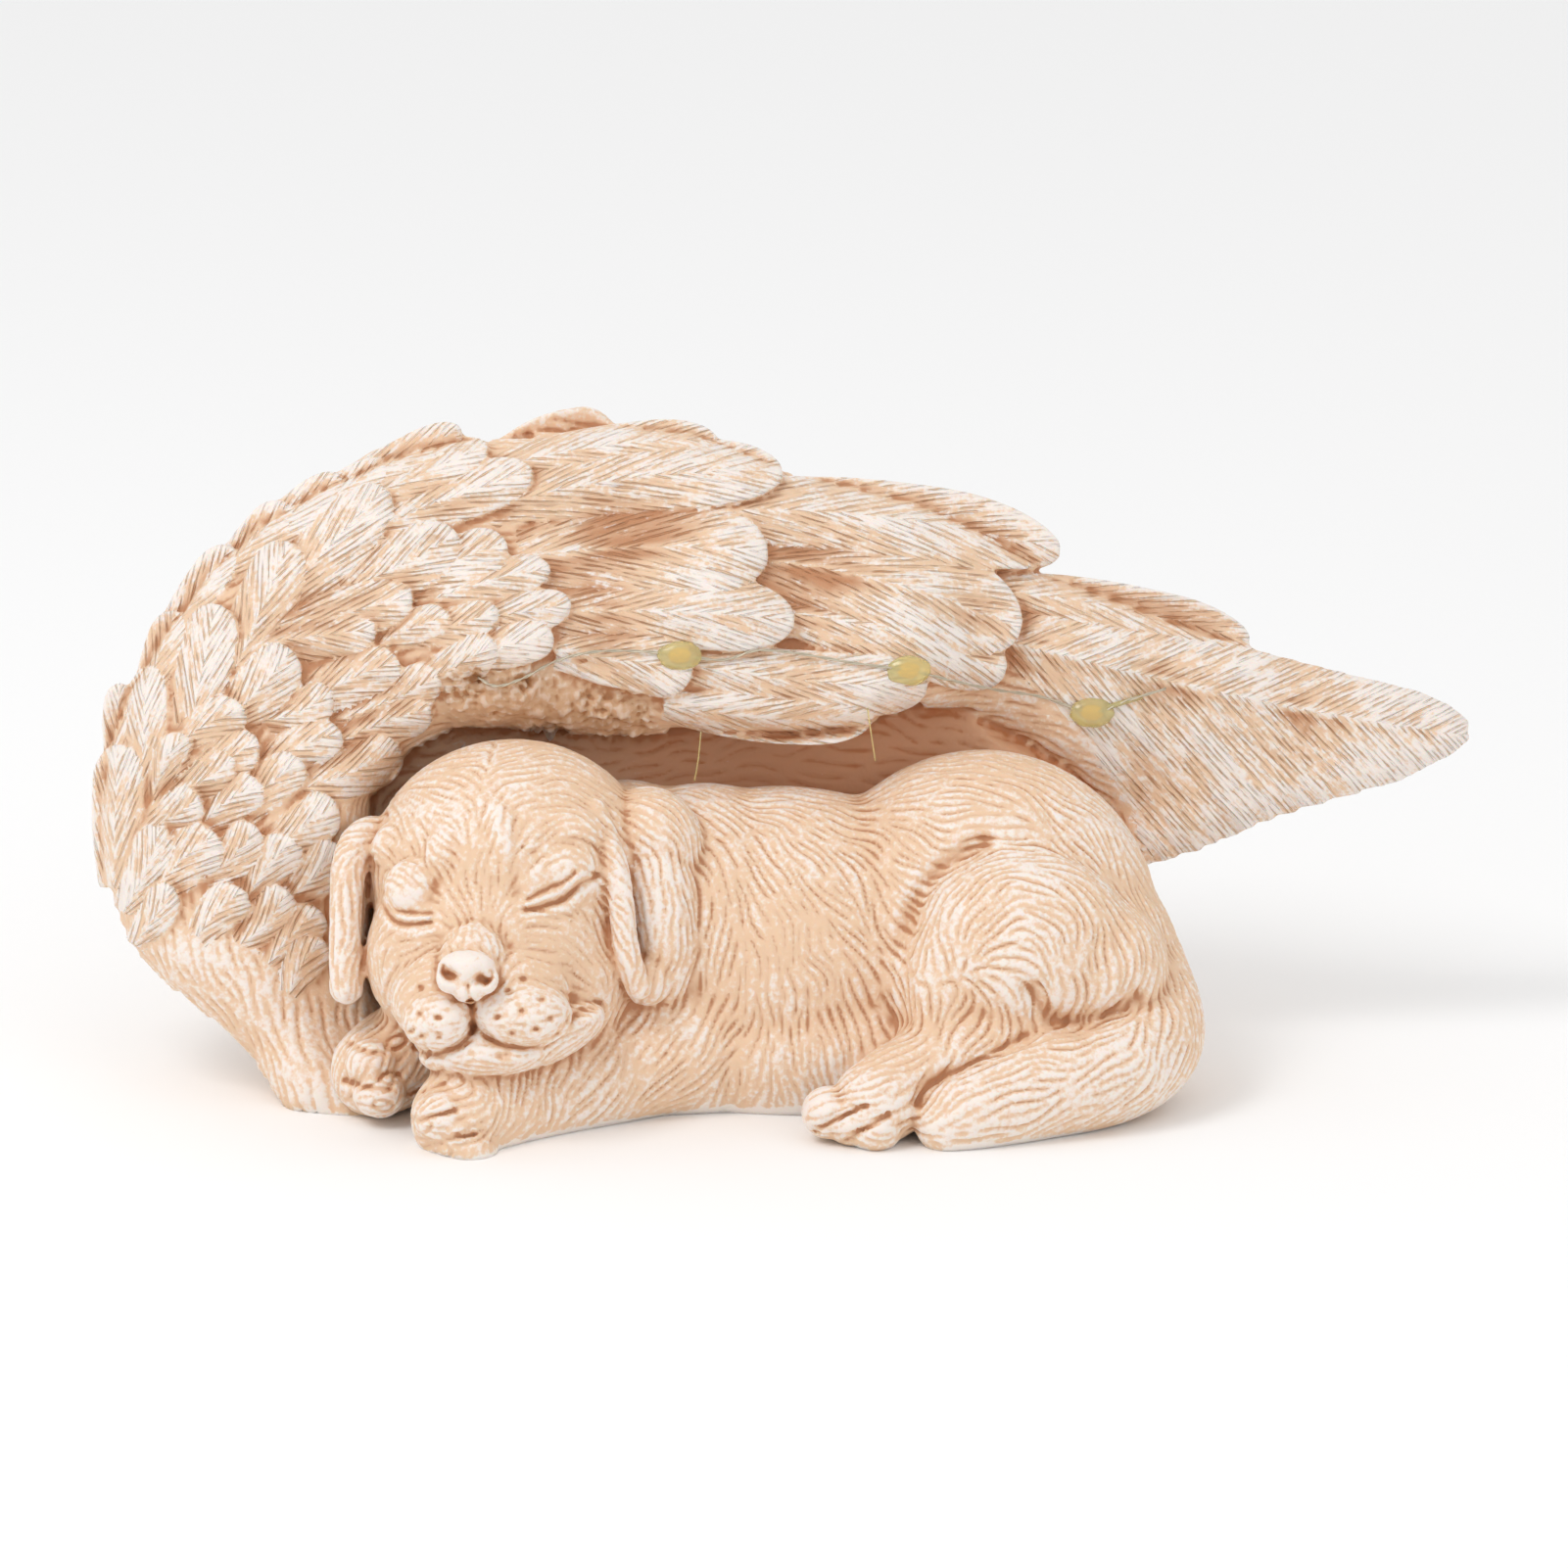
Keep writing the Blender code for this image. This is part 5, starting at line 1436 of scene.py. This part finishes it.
@dataclass(frozen=True)
class CastResin:
    """Peach resin with white paint rubbed over what stands up, and painted shade in its creases and in the
    hollow behind the puppy. Colours are linear.

    Attributes:
        name: The material's name.
        deep: Painted shade: the darker resin colour put deep in the hollow behind the puppy.
        painted_crease_shade: Painted shade: the darker resin colour put in creases, broad hollows and the
            grooves between barbs.
        peach: The resin elsewhere.
        white: The paint.
        glue_brown: What the glue left round the wire's hole.
        roughness: How dull all of it is.
        barbs_apart: Space from one barb to the next, in centimetres.
        barb_sway: How far barbs stray from even spacing, in radians.
        barb_stretch: How much longer than wide the marks between barbs are.
        sway_scale: How quickly barbs stray, to the centimetre.
        break_scale: How often barbs break off, to the centimetre.
        break_span: From where they are gone to where they are whole.
        streak_scale: How fine the streaks of paint are, to the centimetre.
        lock_scale: How fine the locks of barbs are, to the centimetre.
        patchy: How much the paint comes and goes from place to place.
        broad_share: How much of the paint follows the broad form.
        zone_share: How much the patches and regions count.
        zone_most: The most that they can add.
        white_span: The cues from no paint to the thickest.
        white_most: How well the thickest paint covers.
        shade_span: The cues from plain resin to the deepest painted shade.
        glue_bare: How much of the paint is missing where the glue is.
        glue_share: How brown the glue makes the resin.
    """

    name: str
    deep: Colour = (0.60, 0.20, 0.055, 1)
    painted_crease_shade: Colour = (0.52, 0.24, 0.115, 1)
    peach: Colour = (0.79, 0.555, 0.375, 1)
    white: Colour = (0.87, 0.81, 0.765, 1)
    glue_brown: Colour = (0.42, 0.20, 0.07, 1)
    roughness: float = 0.6
    barbs_apart: float = 0.078
    barb_sway: float = 9.0
    barb_stretch: float = 8.0
    sway_scale: float = 1.1
    break_scale: float = 2.2
    break_span: Spot = (0.42, 0.66)
    streak_scale: float = 1.9
    lock_scale: float = 0.42
    patchy: float = 3.4
    broad_share: float = 0.28
    zone_share: float = 0.55
    zone_most: float = 0.5
    white_span: Spot = (0.0, 1.25)
    white_most: float = 0.88
    shade_span: Spot = (0.05, 1.2)
    glue_bare: float = 0.7
    glue_share: float = 0.55
    # fine: white paint on the raised grain and painted shade in its creases; broad: painted shade in broad
    # hollows.
    fine: Cue = Cue(4.2, -4.2)
    broad: Cue = Cue(0.0, -0.34)
    rub: Cue = Cue(3.0, 0.0, 0.3)
    # The hollow's painted shade also takes white paint away there.
    recess_shade: Cue = Cue(-2.5)
    vane: Cue = Cue(0.18)
    margin: Cue = Cue(0.4)
    # groove: less white paint and painted shade in the grooves between barbs.
    groove: Cue = Cue(-1.1, 0.62, -1.2)
    streak: Cue = Cue(4.6, 0.0, 1.0)
    lock: Cue = Cue(3.2, -1.6, 5.0)

    def barbs(self, bench: Bench, vane: Socket) -> Iterator[tuple[Socket, Cue]]:
        """Barbs that run out from the quill towards the tip.

        Args:
            bench: The material's nodes.
            vane: Where feathers are.

        Yields:
            The grooves between them, the streaks of paint along them and the broad locks that
            they lie in, each with its cue.
        """
        barb_map = bench.node("ShaderNodeUVMap", {"uv_map": "barbs"}).outputs[0]
        spot = bench.node("ShaderNodeSeparateXYZ", None, Vector=barb_map).outputs
        wide = bench.maths("MULTIPLY", spot[0], self.barb_stretch)
        place = bench.node("ShaderNodeCombineXYZ", None, X=wide, Y=spot[1]).outputs[0]
        sway = bench.maths("MULTIPLY", bench.grain(self.sway_scale, 3.0, place), self.barb_sway)
        turns = bench.maths("MULTIPLY_ADD", spot[0], 2 * math.pi / self.barbs_apart, sway)
        groove = bench.stretched(bench.maths("SINE", turns), 0.0, 1.0)
        cut = bench.stretched(bench.grain(self.break_scale, 2.0, place), *self.break_span)
        marks = (
            (bench.maths("MULTIPLY", groove, cut), self.groove),
            (bench.centred(bench.grain(self.streak_scale, 5.0, place)), self.streak),
            (bench.centred(bench.grain(self.lock_scale, 2.0, place)), self.lock),
        )
        for value, cue in marks:
            yield bench.maths("MULTIPLY", value, vane), cue

    def made(self, feathered: bool) -> bpy.types.Material:
        """Makes the material.

        Args:
            feathered: Whether barbs are drawn on the feathers.

        Returns:
            The material.
        """
        bench = Bench(self.name)
        broad, recess_shade = bench.reading("broad_height"), bench.reading("recess_shade")
        patches = bench.centred(bench.grain(95.0, 5.0))
        zone = bench.maths("MULTIPLY_ADD", patches, self.patchy, bench.reading("rubbed"))
        zone = bench.maths("MULTIPLY_ADD", broad, self.broad_share, zone)
        zone = bench.maths("MINIMUM", bench.maths("MULTIPLY", zone, self.zone_share), self.zone_most)
        cues = [
            (bench.reading("fine_height"), self.fine),
            (broad, self.broad),
            (bench.centred(bench.grain(1300.0, 4.0)), self.rub),
            (recess_shade, self.recess_shade),
        ]
        if feathered:
            vane = bench.reading("vane")
            cues += [*self.barbs(bench, vane), (vane, self.vane), (bench.reading("margin"), self.margin)]
        # dark gathers the painted shade of creases, hollows and barb grooves, with some random tone from the
        # locks.
        totals = {"white": zone, "dark": 0.0, "relief": 0.0}
        for value, cue in cues:
            for name, gain in asdict(cue).items():
                if gain:
                    totals[name] = bench.maths("MULTIPLY_ADD", value, gain, totals[name])
        white = bench.maths("MULTIPLY", bench.stretched(totals["white"], *self.white_span), self.white_most)
        # Painted shade: creases, hollows and barb grooves turn to the darker resin colour.
        tan = bench.mixed(bench.stretched(totals["dark"], *self.shade_span), self.peach, self.painted_crease_shade)
        # Painted shade: the hollow behind the puppy turns to the deep colour.
        tan = bench.mixed(recess_shade, tan, self.deep)
        if feathered:
            stain = bench.reading("stain")
            white = bench.maths("MULTIPLY", white, bench.maths("MULTIPLY_ADD", stain, -self.glue_bare, 1.0))
            tan = bench.mixed(bench.maths("MULTIPLY", stain, self.glue_share), tan, self.glue_brown)
        bench.finish(
            Base_Color=bench.mixed(white, tan, self.white),
            Roughness=self.roughness,
            Subsurface_Weight=0.2,
            Subsurface_Radius=(1.0, 0.5, 0.25),
            Subsurface_Scale=0.003,
            Normal=bench.bumped(totals["relief"], 0.9, 0.0004),
        )
        return bench.material


@dataclass(frozen=True)
class ClearGlue:
    """Clear glue that has yellowed a little."""

    name: str = "clear_glue"
    colour: Colour = (1.0, 0.90, 0.45, 1)

    def made(self) -> bpy.types.Material:
        """Makes the material."""
        bench = Bench(self.name)
        bench.finish(
            Base_Color=self.colour,
            Roughness=0.12,
            Transmission_Weight=0.7,
            IOR=1.46,
            Normal=bench.bumped(bench.grain(700.0, 2.0), 0.35, 0.0002),
        )
        return bench.material


@dataclass(frozen=True)
class Plain:
    """A simple finish of one colour with a fine grain in its roughness."""

    name: str
    colour: Colour
    roughness: float
    metallic: float = 0.0

    def made(self) -> bpy.types.Material:
        """Makes the material."""
        bench = Bench(self.name)
        dark = tuple(value * 0.82 for value in self.colour[:3]) + (1,)
        colour = bench.mixed(bench.grain(1500.0, 2.0), dark, self.colour)
        bench.finish(Base_Color=colour, Roughness=self.roughness, Metallic=self.metallic)
        return bench.material


@dataclass(frozen=True)
class Lights:
    """The wire that comes out of the wing, with three lights under drops of glue.

    Attributes:
        places: The lights' middles.
        way: The wire's way over the wing.
        tail: The way of the glue past the third light.
        threads: Threads of glue that the glue gun drew out under the wing.
        drop_sizes: Length, width and height of a drop.
        chip_sizes: Length, width and height of a light.
        drop_lift: How far a drop's middle stands off the wing.
        chip_lift: How far a light's middle does.
        wire_radius: Half the thickness of one strand.
        twist: How far the strands turn from one point to the next, in radians.
        hole_reach: How far the wire goes into its hole.
        thread_radius: Half the thickness of a thread of glue.
        tail_radius: Half the thickness of the glue's tail.
    """

    places: tuple[Spot, ...] = ((-15.6, 65.4), (18.8, 63.2), (46.8, 57.0))
    way: tuple[Spot, ...] = (
        (-46.0, 62.2), (-43.0, 60.8), (-39.0, 62.0), (-34.0, 64.6), (-28.0, 66.0), (-21.0, 66.0),
        (-15.6, 65.4), (-9.0, 64.8), (-4.0, 66.2), (2.0, 65.8), (10.0, 64.4), (18.8, 63.2),
        (25.0, 61.8), (32.0, 60.4), (39.0, 59.4), (46.8, 57.0), (52.0, 58.8), (58.0, 60.6),
    )
    tail: tuple[Spot, ...] = ((48.6, 57.6), (51.4, 58.5), (54.4, 59.4))
    threads: tuple[tuple[Place, ...], ...] = (
        ((12.6, 57.6, -10.5), (13.2, 53.5, -9.5), (13.8, 49.6, -8.0)),
        ((-12.4, 54.0, -11.0), (-12.8, 50.0, -10.0), (-13.4, 46.6, -9.0)),
    )
    drop_sizes: Place = (6.6, 4.4, 2.4)
    chip_sizes: Place = (3.2, 2.2, 1.4)
    drop_lift: float = 0.4
    chip_lift: float = 0.5
    wire_radius: float = 0.13
    twist: float = 0.9
    hole_reach: float = 3.0
    thread_radius: float = 0.11
    tail_radius: float = 0.42

    def depth_finder(self, wing: bpy.types.Object) -> DepthFinder:
        """A function that gives the depth of the wing's skin at a place that the eye sees."""
        shape = bmesh.new()
        shape.from_mesh(wing.data)
        tree = BVHTree.FromBMesh(shape)
        shape.free()

        def depth_at(across: float, up: float) -> float:
            """The depth at which the line of sight meets the skin."""
            hit = tree.ray_cast(PLANE.point(across, up, -200), PLANE.inward)[0]
            return PLANE.measured(np.array([hit]))[0][2]

        return depth_at

    def drop(
        self, name: str, depth_at: DepthFinder, spot: Spot, sizes: Place, lift: float
    ) -> bpy.types.Object:
        """A flattened drop that sits on the wing.

        Args:
            name: The piece's name.
            depth_at: Gives the skin's depth.
            spot: Its middle.
            sizes: Its length, width and height in millimetres.
            lift: How far its middle stands off the skin.

        Returns:
            The drop.
        """
        shape = bmesh.new()
        middle = depth_at(*spot) - lift
        bmesh.ops.create_icosphere(shape, subdivisions=4, radius=1)
        for vertex in shape.verts:
            wave = 1 + 0.12 * noise.noise(vertex.co * 1.7 + Vector((spot[0], 0, 0)))
            a = spot[0] + vertex.co.x * sizes[0] / 2 * wave
            u = spot[1] + vertex.co.y * sizes[1] / 2 * wave
            depth = min(middle + vertex.co.z * sizes[2] / 2, depth_at(a, u) - 0.02 + 0.1 * vertex.co.z)
            vertex.co = PLANE.point(a, u, depth)
        bmesh.ops.reverse_faces(shape, faces=shape.faces[:])
        return shaded_smooth(mesh_piece(name, shape))

    def strand(self, name: str, points: Sequence[Vector], radius: float) -> bpy.types.Object:
        """A round strand.

        Args:
            name: Its name.
            points: What it runs through, in metres.
            radius: Half its thickness, in millimetres.

        Returns:
            The strand as a mesh.
        """
        curve = bpy.data.curves.new(name, "CURVE")
        curve.dimensions = "3D"
        curve.bevel_depth = radius * PLANE.millimetre
        curve.bevel_resolution = 2
        curve.use_fill_caps = True
        line = curve.splines.new("POLY")
        line.points.add(len(points) - 1)
        for point, place in zip(line.points, points):
            point.co = (*place, 1)
        drawn = linked(name + "_line", curve)
        graph = bpy.context.evaluated_depsgraph_get()
        shape = bmesh.new()
        shape.from_mesh(bpy.data.meshes.new_from_object(drawn.evaluated_get(graph)))
        bpy.data.objects.remove(drawn)
        bmesh.ops.remove_doubles(shape, verts=shape.verts[:], dist=1e-7)
        bmesh.ops.recalc_face_normals(shape, faces=shape.faces[:])
        return shaded_smooth(mesh_piece(name, shape))

    def wire(self, depth_at: DepthFinder) -> bpy.types.Object:
        """The wire: two thin strands twisted round each other along the feathers."""
        way = smooth_way(self.way, 8)
        depths = [min(depth_at(a + da, u) for da in (-0.4, 0, 0.4)) for a, u in way]
        eased = [min(depths[max(0, n - 3) : n + 4]) for n in range(len(way))]
        eased = np.convolve(np.pad(eased, 3, "edge"), np.ones(7) / 7, "valid")
        strands = []
        for turn in (0.0, math.pi):
            points = []
            for number, (across, up) in enumerate(way):
                angle = turn + number * self.twist
                lift = self.wire_radius * 2 + 0.1
                side = self.wire_radius * np.array((math.cos(angle), math.sin(angle)))
                points.append(PLANE.point(across, up + side[0], eased[number] - lift + side[1]))
            points[0] = PLANE.point(*way[0], depths[0] + self.hole_reach)
            strands.append(self.strand(f"strand_{len(strands)}", points, self.wire_radius))
        return shaded_smooth(joined("light_wire", strands))

    def glue_threads(self, depth_at: DepthFinder) -> bpy.types.Object:
        """Threads of glue that the glue gun drew out, and the smear at the wire's end."""
        tail = tuple((a, u, depth_at(a, u) - 0.25) for a, u in self.tail)
        strands = []
        for thread in (*self.threads, tail):
            radius = self.tail_radius if thread is tail else self.thread_radius
            points = [PLANE.point(*place) for place in smooth_way(thread, 6)]
            strands.append(self.strand("thread", points, radius))
        return joined("glue_threads", strands)


@dataclass(frozen=True)
class Statue:
    """The whole statue, built piece by piece.

    Attributes:
        puppy: The puppy.
        wing: The wing.
        lights: The wire with its lights.
        puppy_grain: The size of the puppy's faces, in millimetres.
        wing_grain: The size of the wing's faces, in millimetres.
        most_triangles: The most triangles that a piece may keep.
        fine_rounds: How far the finest creases reach, in rounds of smoothing.
        broad_rounds: How far the broad form reaches.
        recess_shade_start: The depth at which the painted shade in the hollow behind the puppy starts, in
            millimetres.
        recess_shade_span: How much deeper it is where the painted shade is darkest.
        table_bare: How much paint is missing at the table.
        table_height: How high above the table that reaches, in millimetres.
        rubbed_regions: Ovals of the figure and how much more paint each got.
    """

    puppy: Puppy = Puppy()
    wing: Wing = Wing()
    lights: Lights = Lights()
    puppy_grain: float = 0.42
    wing_grain: float = 0.45
    quick_grain: float = 2.2
    most_triangles: int = 192000
    fine_rounds: int = 3
    broad_rounds: int = 60
    recess_shade_start: float = 1.0
    recess_shade_span: float = 9.0
    table_bare: float = 2.4
    table_height: float = 2.2
    rubbed_regions: tuple[tuple[float, float, float, float, float], ...] = (
        (-46, 11, 10, 6, 0.8), (-46.5, 19, 5, 4, 0.7), (-38, 0, 14, 6, 0.5), (40, 0, 22, 8, 0.8),
        (12, -2, 9, 6, 0.6), (22, 26, 4, 12, 0.5), (52, 8, 8, 14, 0.5), (-20, 28, 6, 12, 0.5),
        (-66, 26, 3, 12, 0.5), (-5, 40, 10, 9, 0.3), (3, 22, 12, 12, -0.3), (34, 22, 9, 9, 0.2),
        (-34, 22, 6, 6, -0.4), (60, 58, 40, 9, 0.2), (-10, 72, 20, 9, 0.2), (-55, 31, 4, 4, 0.7),
        (-34, 35, 5, 4, 0.7), (-41, 42, 6, 7, 0.6), (-50, 42, 6, 5, 0.5), (-23, 30, 3, 12, 0.6),
        (6, 45, 14, 4, 0.6), (45, 38, 8, 8, 0.5), (34, 33, 9, 4, 0.5), (-86, 22, 7, 6, 0.8),
        (-74, 8, 6, 7, 0.7), (30, -3, 8, 4, 0.5),
    )

    def painted(self, piece: bpy.types.Object, resin: bpy.types.Material) -> None:
        """Paints a cast piece by its own form, with painted shade in its creases and in the hollow behind
        the puppy, and smooths its shading.
        """
        skin = Skin(piece)
        skin.paint("fine_height", skin.height_over(self.fine_rounds))
        broad = skin.averaged(skin.height_over(self.broad_rounds)[:, None], 2)
        skin.paint("broad_height", broad[:, 0])
        # The strength of the painted shade in the hollow behind the puppy.
        skin.paint("recess_shade", self.recess_shade(skin))
        skin.paint("rubbed", self.rubbed(skin))
        shaded_smooth(piece).data.materials.append(resin)

    def recess_shade(self, skin: Skin) -> np.ndarray:
        """How much painted shade a vertex gets in the hollow between wing and puppy, more the deeper it
        lies, from 0 to 1.
        """
        across, up, depth = skin.layout.T
        hollow = inside(self.wing.canopy + self.wing.wall, across, up)
        seen = np.clip(PLANE.facing(skin.normals) * 3 + 0.6, 0, 1)
        return np.clip((depth - self.recess_shade_start) / self.recess_shade_span, 0, 1) * hollow * seen * 0.5

    def rubbed(self, skin: Skin) -> np.ndarray:
        """How much more or less white paint each region got."""
        across, up, _ = skin.layout.T
        total = np.zeros(len(across))
        for *place, amount in self.rubbed_regions:
            total += amount * np.exp(-oval(across, up, place))
        height = (skin.places[:, 2] - PLANE.shift[2]) / PLANE.millimetre
        return total - self.table_bare * np.clip(1 - height / self.table_height, 0, 1)

    def build(self) -> None:
        """Builds and dresses every piece, attaches it to the root and hides the imported parts that it
        stands for.
        """
        coarse = 1.0
        puppy = self.puppy.modelled(self.puppy_grain * coarse)
        log.info("puppy modelled, %d vertices", len(puppy.data.vertices))
        wing = self.wing.modelled(self.wing_grain * coarse)
        log.info("wing modelled, %d vertices", len(wing.data.vertices))
        for piece in (puppy, wing):
            cut_at_table(piece)
        shift = self.shift_onto_frame((puppy, wing))
        for piece in (puppy, wing):
            piece.data.transform(Matrix.Translation(shift))
        PLANE.shift = shift
        self.puppy.furred(puppy)
        log.info("puppy furred")
        self.wing.brushed(wing)
        log.info("wing brushed")
        for piece in (puppy, wing):
            trimmed(piece, self.most_triangles)
        FeatherFinder(self.wing).lay(wing)
        log.info("feathers laid out for paint")
        skin = Skin(wing)
        skin.paint("stain", self.wing.stained(skin))
        self.painted(puppy, CastResin("puppy_resin").made(feathered=False))
        self.painted(wing, CastResin("wing_resin").made(feathered=True))
        for piece in (puppy, wing):
            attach(piece, "root")
            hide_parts("statue")
            log.info("%s: %d triangles", piece.name, len(piece.data.polygons))
        self.dress_lights(wing)

    def dress_lights(self, wing: bpy.types.Object) -> None:
        depth_at = self.lights.depth_finder(wing)
        glue = ClearGlue().made()
        chip_look = Plain("light_chip", (1.0, 0.60, 0.05, 1), 0.4).made()
        for number, spot in enumerate(self.lights.places, 1):
            sizes = (self.lights.drop_sizes, self.lights.drop_lift)
            drop = self.lights.drop(f"glue_drop_{number}", depth_at, spot, *sizes)
            sizes = (self.lights.chip_sizes, self.lights.chip_lift)
            chip = self.lights.drop(f"light_chip_{number}", depth_at, spot, *sizes)
            drop.data.materials.append(glue)
            chip.data.materials.append(chip_look)
            for piece in (drop, chip):
                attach(piece, "root")
                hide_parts(f"light_{number}")
            log.info("light %d under its drop", number)
        wire = self.lights.wire(depth_at)
        wire.data.materials.append(Plain("bright_wire", (0.62, 0.56, 0.44, 1), 0.35, 0.7).made())
        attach(wire, "root")
        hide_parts("wire_1", "wire_2", "wire_3", "wire_end")
        threads = self.lights.glue_threads(depth_at)
        threads.data.materials.append(glue)
        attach(threads, "root")
        log.info("wire and threads of glue laid")

    def shift_onto_frame(self, pieces: Sequence[bpy.types.Object]) -> Vector:
        """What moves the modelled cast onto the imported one, in metres."""
        low, high = np.full(3, 1e9), np.full(3, -1e9)
        for piece in pieces:
            places = Skin(piece).places
            low, high = np.minimum(low, places.min(axis=0)), np.maximum(high, places.max(axis=0))
        cad_low, cad_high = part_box("statue")
        middle = [(cad_low[axis] + cad_high[axis] - low[axis] - high[axis]) / 2 for axis in (0, 1)]
        return Vector((*middle, cad_low[2] - low[2]))


@dataclass(frozen=True)
class Lamp:
    """A soft square lamp that looks at the statue.

    Attributes:
        name: Its name.
        place: Where it hangs, in metres.
        size: Its side, in metres.
        power: Its power in watts.
    """

    name: str
    place: Place
    size: float
    power: float

    def hung(self, target: Place) -> None:
        """Hangs the lamp so that it looks at a target."""
        data = bpy.data.lights.new(self.name, "AREA")
        data.size = self.size
        data.energy = self.power
        lamp = linked(self.name, data)
        lamp.location = self.place
        way = Vector(target) - Vector(self.place)
        lamp.rotation_euler = way.to_track_quat("-Z", "Y").to_euler()


@dataclass(frozen=True)
class Studio:
    """Pale table, soft lamps and the camera at the photograph's angle.

    Attributes:
        frame_pixels: The photograph's side.
        pixels_per_millimetre: Its scale at the statue.
        middle: The place of the layout in the middle of the picture.
        distance: From the camera to the statue, in metres.
        sensor: The width of the camera's sensor, in millimetres.
        nearest: Where the camera's view starts, in metres.
        target: What the lamps look at, in metres.
        table_size: Half the table's side, in metres.
        table_colour: The table's colour.
        air: The colour of the light from all sides.
        air_strength: How strong that light is.
        lamps: The lamps.
    """

    frame_pixels: float = 1601.0
    pixels_per_millimetre: float = 6.75
    middle: Spot = (0.07, 46.15)
    distance: float = 1.5
    sensor: float = 36.0
    nearest: float = 0.05
    target: Place = (0, 0, 0.04)
    table_size: float = 3.0
    table_colour: Colour = (0.95, 0.95, 0.95, 1)
    air: Colour = (1, 1, 1, 1)
    air_strength: float = 0.86
    lamps: tuple[Lamp, ...] = (
        Lamp("key_lamp", (-0.50, -0.45, 0.85), 0.40, 3.2),
        Lamp("fill_lamp", (0.8, -0.8, 0.5), 0.8, 0.8),
    )

    def camera(self) -> None:
        """Sets the camera up as the photograph was taken."""
        data = bpy.data.cameras.new("photo_camera")
        camera = linked("photo_camera", data)
        width = self.frame_pixels / self.pixels_per_millimetre * PLANE.millimetre
        data.sensor_width = self.sensor
        data.lens = self.sensor * self.distance / width
        data.clip_start = self.nearest
        place = PLANE.point(*self.middle, 0) - PLANE.inward * self.distance
        turn = Matrix((PLANE.across, PLANE.upward, -PLANE.inward)).transposed().to_4x4()
        camera.matrix_world = Matrix.Translation(place) @ turn
        bpy.context.scene.camera = camera

    def table(self) -> None:
        """A pale plain table."""
        shape = bmesh.new()
        bmesh.ops.create_grid(shape, x_segments=1, y_segments=1, size=self.table_size)
        table = mesh_piece("table_top", shape)
        bench = Bench("pale_table")
        bench.finish(Base_Color=self.table_colour, Roughness=0.9)
        table.data.materials.append(bench.material)

    def build(self) -> None:
        """Builds the studio."""
        world = bpy.data.worlds.new("studio_air")
        bpy.context.scene.world = world
        world.use_nodes = True
        colour, strength = world.node_tree.nodes["Background"].inputs[:2]
        colour.default_value = self.air
        strength.default_value = self.air_strength
        self.table()
        for lamp in self.lamps:
            lamp.hung(self.target)
        bpy.context.scene.view_settings.view_transform = "Standard"
        self.camera()


def main() -> None:
    """Builds the statue and its studio."""
    logging.basicConfig(level=logging.INFO, format="%(message)s")
    Statue().build()
    Studio().build()


if __name__ == "__main__":
    main()
